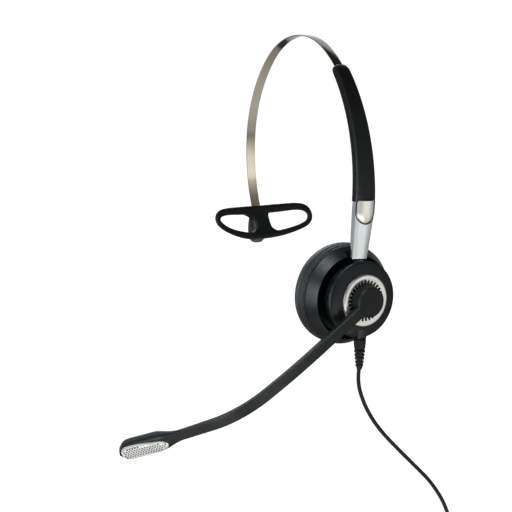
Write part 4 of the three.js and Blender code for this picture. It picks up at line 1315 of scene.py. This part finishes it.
def swollen(obj):
    """Puffs the cushion up with cloth under pressure, held where it meets the plate."""
    unit = MM * SWELL
    for v in obj.data.vertices:
        v.co = (CUP.inverted() @ v.co) * MM * SWELL
    remeshed(obj, 1.15 * MM * SWELL, 8)
    start = places(obj.data)
    held = obj.vertex_groups.new(name="held")
    held.add([int(i) for i in np.nonzero(start[:, 0] > 8.2 * MM * SWELL)[0]], 1.0, "REPLACE")
    cloth = obj.modifiers.new("cloth", "CLOTH")
    settings = cloth.settings
    settings.quality = 6
    settings.mass = 0.3
    settings.tension_stiffness = 12
    settings.compression_stiffness = 12
    settings.bending_stiffness = 0.4
    settings.use_pressure = True
    settings.uniform_pressure_force = 4.0
    settings.shrink_min = -0.03
    settings.vertex_group_mass = "held"
    settings.effector_weights.gravity = 0
    cloth.collision_settings.use_collision = False
    scene = bpy.context.scene
    for number in range(1, LAST_FRAME + 1):
        scene.frame_set(number)
    end = places(obj.evaluated_get(bpy.context.evaluated_depsgraph_get()).data)
    scene.frame_set(1)
    obj.modifiers.clear()
    move = end - start
    size = np.linalg.norm(move, axis=1, keepdims=True)
    cap = 0.75 * MM * SWELL
    move *= np.where(size > cap, cap / np.maximum(size, 1e-12), 1.0)
    obj.data.vertices.foreach_set("co", (start + move).ravel())
    obj.modifiers.new("finer", "SUBSURF").levels = 1
    settle(obj)
    for v in obj.data.vertices:
        v.co = CUP @ (v.co / unit)
    return obj


def wobble(angle, rates, seed):
    """A smooth value round a ring, from a few sines."""
    waves = [math.sin(rate * angle + seed * (k + 1) * 1.7) for k, rate in enumerate(rates)]
    return sum(waves) / len(rates)


def cushion():
    """The round pad: swollen, pinched along its seam, creased inside and slightly uneven."""
    profile = [(x, r * 0.997 if r > 20 else r, *fillet) for x, r, *fillet in CUSHION]
    pad = turned("ear_pad", profile, CUP, 96, closed=True)
    swollen(pad)
    inverse = CUP.inverted()
    for v in pad.data.vertices:
        x, y, z = inverse @ v.co
        radius, turn = math.hypot(y, z), math.atan2(z, y)
        outer = smoothstep(radius, 21, 25)
        inner = 1 - smoothstep(radius, 15.5, 18.5)
        pinch = 0.42 * outer * math.exp(-(((x - SEAM_AT) / 0.55) ** 2))
        gather = wobble(turn, (47, 71, 96), 1.3)
        near = math.exp(-(((x - SEAM_AT) / 2.2) ** 2)) * outer
        folds = 0.13 * wobble(turn, (38, 61, 83), 2.1) * inner * smoothstep(x, -4, 0)
        crease = 0.06 * gather * near + folds
        drift = 0.08 * wobble(turn, (3, 5, 9), 0.7) * (1 - smoothstep(x, 3, 8))
        new = radius - pinch + (crease + drift) * (1 if radius > 20 else -1)
        v.co = CUP @ Vector((x, y * new / radius, z * new / radius))
    return smooth(pad, 60)


def seam():
    """The stitches in the seam round the pad's side."""
    pieces = []
    count, radius = 118, 27.15
    widths = (0.06, 0.15, 0.19, 0.2, 0.19, 0.15, 0.06)
    for i in range(count):
        middle = 360 * i / count
        rings = []
        for turn, r in zip(steps(-1.05, 1.05, 6), widths):
            a = (middle + turn) * RAD
            out = Vector((0, math.sin(a), math.cos(a)))
            reach = radius + 0.1
            centre = Vector((SEAM_AT + 0.1 * turn, reach * math.sin(a), reach * math.cos(a)))
            ring = range(0, 360, 60)
            rings.append([centre + out * r * sind(k) + Vector((r * cosd(k), 0, 0)) for k in ring])
        pieces.append(loft("stitch", rings, CUP))
    return smooth(merged("pad_stitches", pieces), 60)


def build_cup():
    dressed(cup_shell(), "satin", "ear_cup", ("cup_shell",))
    dressed(speaker_plate(), "satin", "ear_cup", ("speaker_plate",))
    pad = dressed(cushion(), "leather", "ear_cup", ("ear_cushion",))
    dressed(seam(), "thread", "ear_cup", ())
    line = [(1.4, 0), (1.4, 12.6, 0.3), (1.8, 13, 0.3), (2.7, 13, 0.1), (2.7, 0)]
    dressed(turned("foam_disc", line, CUP, 96), "foam", "ear_cup", ("speaker_foam",))


# ---------------------------------------------------------------- boom and microphone

BOOM = {"angle": 39.0, "level": 31.8, "width": 6.4, "thick": 3.4, "disc": 8.3}
BEND = {
    "straight": 40.0, "gentle": 300.0, "from": 3.0, "mid": 10.0, "radius": 50.0, "to": 48.0,
    "run": 18.0,
}
MIC = {"length": 40.5, "width": 11.2, "depth": 7.6, "face": 1.35}


def boom_path():
    """(out from the hub, in towards the head, heading) down the boom."""
    start, mid, end = BEND["from"], BEND["mid"], BEND["to"]
    # Stretches of the boom: length, heading at each end, number of points.
    stretches = [
        (9, 0, 0, 3),
        (4, 0, start, 4),
        (BEND["straight"] - 13, start, start, 8),
        (BEND["gentle"] * (mid - start) * RAD, start, mid, 10),
        (BEND["radius"] * (end - mid) * RAD, mid, end, 30),
        (BEND["run"], end, end, 12),
    ]
    points = [(0.0, 0.0, 0.0)]
    for length, first, last, count in stretches:
        s, t, _ = points[-1]
        for i in range(count):
            heading = mix(first, last, (i + 0.5) / count) * RAD
            s += length / count * math.cos(heading)
            t += length / count * math.sin(heading)
            points.append((s, t, mix(first, last, (i + 1) / count)))
    return points


PATH = boom_path()


def on_boom(point, u, n):
    """From boom coordinates to the ear frame: u across the boom, n out of its face."""
    s0, t0, heading = point
    s = s0 + n * sind(heading)
    x = BOOM["level"] - t0 + n * cosd(heading)
    c, d = cosd(BOOM["angle"]), sind(BOOM["angle"])
    return (x, -s * c - u * d, -s * d + u * c)


def mic_point(along):
    s, t, heading = PATH[-1]
    return (s + along * cosd(heading), t + along * sind(heading), heading)


def mic_half(along):
    round_end = MIC["width"] / 2
    end = max(0.0, along - MIC["length"] + round_end) / round_end
    swell = mix(3.2, round_end, smoothstep(along, 2, 19))
    return swell * math.sqrt(max(0.004, 1 - end * end))


def on_mic(along, u, n):
    sag = -1.2 * smoothstep(along, 1, 14) * (1 - smoothstep(along, 14, 40))
    return on_boom(mic_point(along), u + sag, n)


def mic_oval(along, start, end, half):
    """(middle, half width) of the pod's tapered oval, narrower and lower towards the boom."""
    share = min(1.0, max(0.0, min(along - start, end - along)) / half)
    grown = smoothstep(along, start - 2, start + 19)
    wide = mix(0.68, 1.0, grown) * half * math.sqrt(max(0.01, 1 - (1 - share) ** 2))
    return -1.05 * (1 - grown), wide


def oval_section(along, start, end, half, low, high, radius, corner):
    """The tapered oval's section at one place along the pod."""
    middle, wide = mic_oval(along, start, end, half)
    return [on_mic(along, u + middle, n) for u, n in section(2 * wide, low, high, radius, corner)]


def boom_section(width, half, back):
    """The boom's outline: flat faces, chamfered front edges, round back edges."""
    w, c, r = width / 2, 0.62, 0.9
    front = [(w, half - c), (w - c, half), (-w + c, half), (-w, half - c)]
    rear = []
    for start, sign in ((180, -1), (270, 1)):
        for i in range(6):
            turn = start + 18 * i
            rear.append((sign * (w - r) + r * cosd(turn), -back + r + r * sind(turn)))
    return [*front, *rear]


def boom_arm():
    """The flat bent boom and the round head it ends in on the hub."""
    last = len(PATH) - 1
    level, half, disc = BOOM["level"], BOOM["thick"] / 2, BOOM["disc"]
    rings = []
    for i, point in enumerate(PATH):
        thin = mix(half, 1.35, smoothstep(i, last - 16, last))
        rings.append([on_boom(point, u, n) for u, n in boom_section(BOOM["width"], thin, thin)])
    arm = loft("boom_bar", rings, EAR, angle=25)
    line = [
        (level - half, 0), (level - half, 8.75, 0.2), (level + half - 0.75, disc + 0.05, 0.1),
        (level + half, disc - 0.65, 0.1), (level + half, 0),
    ]
    boolean(arm, [turned("head", line, EAR, 160)], "UNION")
    return bevelled(arm, 0.16, 3, 24)


def mic_rows(rows):
    """Sections along the pod: it deepens from the boom, and thins towards its end."""
    length = MIC["length"]
    rings = []
    for along in rows:
        deep = mix(1.35, MIC["depth"] - MIC["face"], smoothstep(along, 1, 17))
        tail = max(0.0, along - 33) / (length - 33)
        deep *= 1 - 0.62 * tail**2
        lip = MIC["face"] * (1 - 0.35 * max(0.0, along - 38.6) / (length - 38.6))
        radius = mix(0.9, 2.5, smoothstep(along, 2, 14))
        ring = []
        for u, n in section(2 * mic_half(along), -deep, lip, radius, 7):
            ring.append(on_mic(along, u * mix(1.0, 0.965, smoothstep(n, lip - 2.2, lip)), n))
        rings.append(ring)
    return rings


def eased(start, length, first, last, count):
    """Places along a length, closer together at its ends."""
    return [start + length * (1 - cosd(t)) / 2 for t in steps(first, last, count)]


def mic_housing():
    rows = [0.05, *steps(1, 33, 40)]
    rows += [MIC["length"] - 5.6 * (1 - sind(t)) for t in steps(0, 90, 14)]
    rows = sorted(set(round(r, 3) for r in rows if r <= MIC["length"]))
    shell = loft("mic_pod", mic_rows(rows), EAR, angle=50)
    places_along = eased(10.4, 29.1, 0, 180, 40)
    opening = [oval_section(a, 10.4, 39.5, 4.65, -3, 3, 0.8, 3) for a in places_along]
    boolean(shell, [loft("cavity", opening, EAR)])
    return bevelled(shell, 0.14, 3, 42)


GRILLE = {"start": 10.7, "end": 39.2, "half": 4.4, "top": 1.5, "low": 0.5}
HOLES = {"pitch": 1.6, "across": 1.24, "stagger": 0.34, "radius": 0.52, "first": 1.7}


def hump(value, middle, width):
    return math.exp(-(((value - middle) / width) ** 2))


def grille_half(along):
    return mic_oval(along, GRILLE["start"], GRILLE["end"], GRILLE["half"])


def grille_height(along, u):
    """How far the grille stands out of the pod: a rolled rim and a gently crowned field."""
    ends = min(along - GRILLE["start"], GRILLE["end"] - along)
    edge = min(grille_half(along)[1] - abs(u), ends * 0.9)
    broad = 1.35 if u > 0 else 0.75
    rim = 0.4 * (1 - math.exp(-max(0.0, edge) / 0.22)) + 0.26 * hump(edge, broad * 0.6, 0.42)
    field = 0.16 * (1 - (u / GRILLE["half"]) ** 2) * smoothstep(edge, 0.8, 2.5)
    groove = -0.2 * math.exp(-(((edge - broad - 0.12) / 0.16) ** 2))
    return GRILLE["top"] - 0.45 + rim + field + groove


def mic_grille():
    """A crowned silver grille with staggered holes below a plain upper rim."""
    start, end = GRILLE["start"], GRILLE["end"]
    rings = []
    for along in eased(start, end - start, 2, 178, 110):
        middle, half = grille_half(along)
        us = [half * cosd(t) for t in steps(0, 180, 44)]
        top = [(u, grille_height(along, u)) for u in us]
        outline = [*top, (-half, GRILLE["low"]), (half, GRILLE["low"])]
        rings.append([on_mic(along, u + middle, n) for u, n in outline])
    plate = loft("grille_plate", rings, EAR, angle=40)
    holes = []
    for row in range(-3, 3):
        for k in range(40):
            shift = k + HOLES["stagger"] * row % 1
            along = start + HOLES["first"] + HOLES["pitch"] * shift
            if along > end - 1.3:
                break
            middle, half = grille_half(along)
            u = row * HOLES["across"] - 0.1 - middle * 0.4
            if half - u >= 1.95 and half + u >= 1.05:
                place = EAR @ hole_matrix(along, u + middle)
                holes.append(rod("hole", HOLES["radius"], -1.8, 1.2, place, 12))
    return smooth(boolean(plate, [merged("holes", holes)]), 38)


def hole_matrix(along, u):
    """Local x out of the pod's face at a place on it."""
    at = Vector(on_mic(along, u, GRILLE["top"]))
    out = (Vector(on_mic(along, u, GRILLE["top"] + 1)) - at).normalized()
    side = (Vector(on_mic(along, u + 1, GRILLE["top"])) - at).normalized()
    rows = Matrix((out, side, out.cross(side))).transposed().to_4x4()
    return Matrix.Translation(at) @ rows


def mic_foam():
    rows = eased(12.0, 26.0, 4, 176, 24)
    rings = [oval_section(a, 12.0, 38, 3.8, -0.4, 0.35, 0.2, 2) for a in rows]
    return loft("foam_pad", rings, EAR)


def boom_hub():
    line = [
        (26.4, 0), (26.4, 1.3), (21.6, 1.3), (21.6, 5.9, 0.2), (26.0, 5.9), (26.0, 9.2, 0.15),
        (28.0, 9.1, 0.3), (29.95, 8.85, 0.1), (29.95, 0),
    ]
    return turned("boom_boss", line, EAR, 128)


def build_boom():
    dressed(boom_arm(), "boom", "boom", ("boom_arm",))
    dressed(mic_housing(), "boom", "boom", ("mic_housing",))
    dressed(mic_grille(), "grille", "boom", ("mic_grille",))
    dressed(mic_foam(), "foam", "boom", ("mic_foam",))
    dressed(boom_hub(), "boom", "boom", ("boom_hub",))


# ---------------------------------------------------------------- build

build_headband()
build_t_bar()
build_slider()
build_hub()
build_cup()
build_boom()

HIDDEN = {
    "steel": (
        "band_end_stop", "sleeve_friction_spring", "stem_retaining_clip", "hub_screw_front",
        "hub_screw_rear", "cup_tilt_pin", "speaker_frame", "boom_washer", "boom_screw",
        "mic_capsule",
    ),
    "relief": ("mic_boot",),
    "board": ("circuit_board",),
    "film": ("speaker_diaphragm",),
    "magnet": ("speaker_magnet",),
}
for finish, names in HIDDEN.items():
    for name in names:
        dressed(frame["nodes"][name], finish)

# ---------------------------------------------------------------- stage


def add_floor():
    low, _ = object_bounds()
    z, half = low.z / MM - 1.0, 9000
    corners = [(-half, -half, z), (half, -half, z), (half, half, z), (-half, half, z)]
    floor = new_object("floor", corners, [(0, 1, 2, 3)])
    m = Nodes("floor_white", (0.86, 0.86, 0.86), 0.9, 0.0, 0.1)
    m.mottled(0.7, 0.01)
    m.set("Emission Color", (1, 1, 1, 1))
    m.set("Emission Strength", 0.9)
    floor.data.materials.append(m.material)
    floor.visible_glossy = False
    floor.visible_diffuse = False


def add_light(name, direction, size, power, color, pieces):
    """A soft box in a direction from the headset's middle, which lights only some pieces."""
    data = bpy.data.lights.new(name, "AREA")
    data.shape = "RECTANGLE"
    data.size, data.size_y = size
    data.energy = power
    data.color = color
    light = bpy.data.objects.new(name, data)
    way = Vector(direction).normalized()
    light.location = Vector((0.02, -0.02, -0.12)) + way * LIGHT_DISTANCE
    light.rotation_mode = "QUATERNION"
    light.rotation_quaternion = (-way).to_track_quat("-Z", "Y")
    link(light)
    light.light_linking.receiver_collection = pieces


DARK_FINISHES = {
    "sleeve", "satin", "boom", "rubber", "relief", "leather", "foam", "cord", "acetal", "thread",
}


def pieces_in(name, finishes):
    """A collection of the pieces with the given finishes."""
    chosen = bpy.data.collections.new(name)
    wanted = [MATERIAL[finish] for finish in sorted(finishes)]
    for piece in bpy.context.scene.objects:
        if piece.type in ("MESH", "CURVE") and piece.data.materials:
            if piece.data.materials[0] in wanted:
                chosen.objects.link(piece)
    return chosen


DARK_PIECES = pieces_in("dark_pieces", DARK_FINISHES)
BUT_SLEEVE = pieces_in("all_but_sleeve", DARK_FINISHES - {"sleeve"})
SLEEVE_PIECES = pieces_in("sleeve_pieces", {"sleeve"})


def add_world():
    """White for the camera; for the headset a studio of pale walls with darker gaps."""
    world = bpy.data.worlds.new("studio")
    world.use_nodes = True
    tree = world.node_tree
    join = tree.links.new
    way = new_node(tree, "TexCoord").outputs["Generated"]
    split = new_node(tree, "SeparateXYZ")
    join(way, split.inputs["Vector"])
    lift = new_node(tree, "MapRange", From_Min=-1, From_Max=1)
    join(split.outputs["Z"], lift.inputs["Value"])
    ramp = color_ramp(tree, [((height + 1) / 2, color) for height, color in WALLS])
    join(lift.outputs["Result"], ramp.inputs["Fac"])
    color = ramp.outputs["Color"]
    for kind, direction, inner, outer, tint in PATCHES:
        dot = new_node(tree, "VectorMath")
        dot.operation = "DOT_PRODUCT"
        dot.inputs[1].default_value = Vector(direction).normalized()
        join(way, dot.inputs[0])
        fade = new_node(tree, "MapRange", From_Min=cosd(outer), From_Max=cosd(inner))
        fade.interpolation_type = "SMOOTHSTEP"
        join(dot.outputs["Value"], fade.inputs["Value"])
        blend = new_node(tree, "Mix")
        blend.data_type = "RGBA"
        blend.blend_type = kind
        join(fade.outputs["Result"], blend.inputs["Factor"])
        join(color, blend.inputs[6])
        blend.inputs[7].default_value = (*tint, 1)
        color = blend.outputs[2]
    walls = tree.nodes["Background"]
    join(color, walls.inputs["Color"])
    white = new_node(tree, "Background", Color=(1, 1, 1, 1), Strength=1.05)
    choose = new_node(tree, "MixShader")
    join(new_node(tree, "LightPath").outputs["Is Camera Ray"], choose.inputs["Fac"])
    join(walls.outputs["Background"], choose.inputs[1])
    join(white.outputs["Background"], choose.inputs[2])
    join(choose.outputs["Shader"], tree.nodes["World Output"].inputs["Surface"])
    bpy.context.scene.world = world


# Brightness of the studio's walls by the height of a direction, from straight down to straight up.
WALLS = [
    (-1.0, (0.30, 0.28, 0.25)),
    (-0.6, (0.31, 0.29, 0.26)),
    (-0.45, (0.40, 0.40, 0.38)),
    (-0.1, (0.50, 0.52, 0.53)),
    (0.1, (0.46, 0.48, 0.49)),
    (0.45, (0.26, 0.28, 0.29)),
    (0.62, (0.12, 0.13, 0.13)),
    (0.78, (0.02, 0.02, 0.02)),
    (1.0, (0.02, 0.02, 0.02)),
]
# Patches of the walls: how they blend, direction, inner and outer angle, colour.
PATCHES = [
    ("MULTIPLY", (-0.90, -0.42, -0.06), 38, 52, (0.62, 0.65, 0.67)),
    ("MULTIPLY", (0.885, -0.46, -0.06), 13, 32, (0.38, 0.38, 0.38)),
    ("MULTIPLY", (-0.30, 0.95, 0.05), 18, 32, (0.12, 0.12, 0.12)),
    ("MULTIPLY", (0.15, 0.98, 0.0), 20, 46, (0.25, 0.25, 0.25)),
    ("ADD", (0.81, 0.50, -0.20), 28, 72, (0.34, 0.34, 0.33)),
    ("ADD", (0.42, -0.40, -0.80), 25, 50, (0.72, 0.73, 0.73)),
    ("ADD", (-0.70, 0.54, 0.45), 25, 36, (0.40, 0.41, 0.40)),
    ("MULTIPLY", (-0.54, 0.536, -0.647), 7, 13, (0.13, 0.15, 0.18)),
    ("ADD", (-0.84, 0.05, 0.54), 10, 26, (0.80, 0.82, 0.85)),
    ("ADD", (0.34, -0.78, -0.52), 5, 13, (0.50, 0.50, 0.50)),
    ("ADD", (-0.02, -0.90, 0.43), 9, 22, (0.60, 0.62, 0.66)),
    ("MULTIPLY", (-0.15, -0.985, -0.06), 5, 12, (0.25, 0.27, 0.30)),
]


add_floor()
add_world()
LIGHT_DISTANCE = 0.9
COOL = (0.86, 0.95, 1.0)
# Soft boxes: name, direction, size, power, colour, and the pieces they light.
LIGHTS = [
    ("key", (0.37, -0.45, 0.81), (0.5, 0.5), 8.0, COOL, BUT_SLEEVE),
    ("side", (0.30, -0.95, -0.12), (0.34, 0.6), 7.0, COOL, BUT_SLEEVE),
    ("sleeve_side", (0.42, -0.88, -0.18), (0.3, 0.5), 14.0, COOL, SLEEVE_PIECES),
    ("sleeve_front", (0.86, 0.10, -0.50), (0.5, 0.5), 14.0, (1, 1, 1), SLEEVE_PIECES),
    ("below", (0.80, 0.18, -0.57), (0.4, 0.4), 1.8, COOL, DARK_PIECES),
    ("under", (0.35, -0.42, -0.84), (0.5, 0.5), 2.2, COOL, DARK_PIECES),
    ("left", (-0.76, -0.65, 0.0), (0.3, 0.6), 3.6, COOL, BUT_SLEEVE),
    ("back", (-0.72, 0.25, 0.62), (0.5, 0.5), 3.5, (1, 1, 1), DARK_PIECES),
]
for light in LIGHTS:
    add_light(*light)
bpy.context.scene.view_settings.view_transform = "Standard"
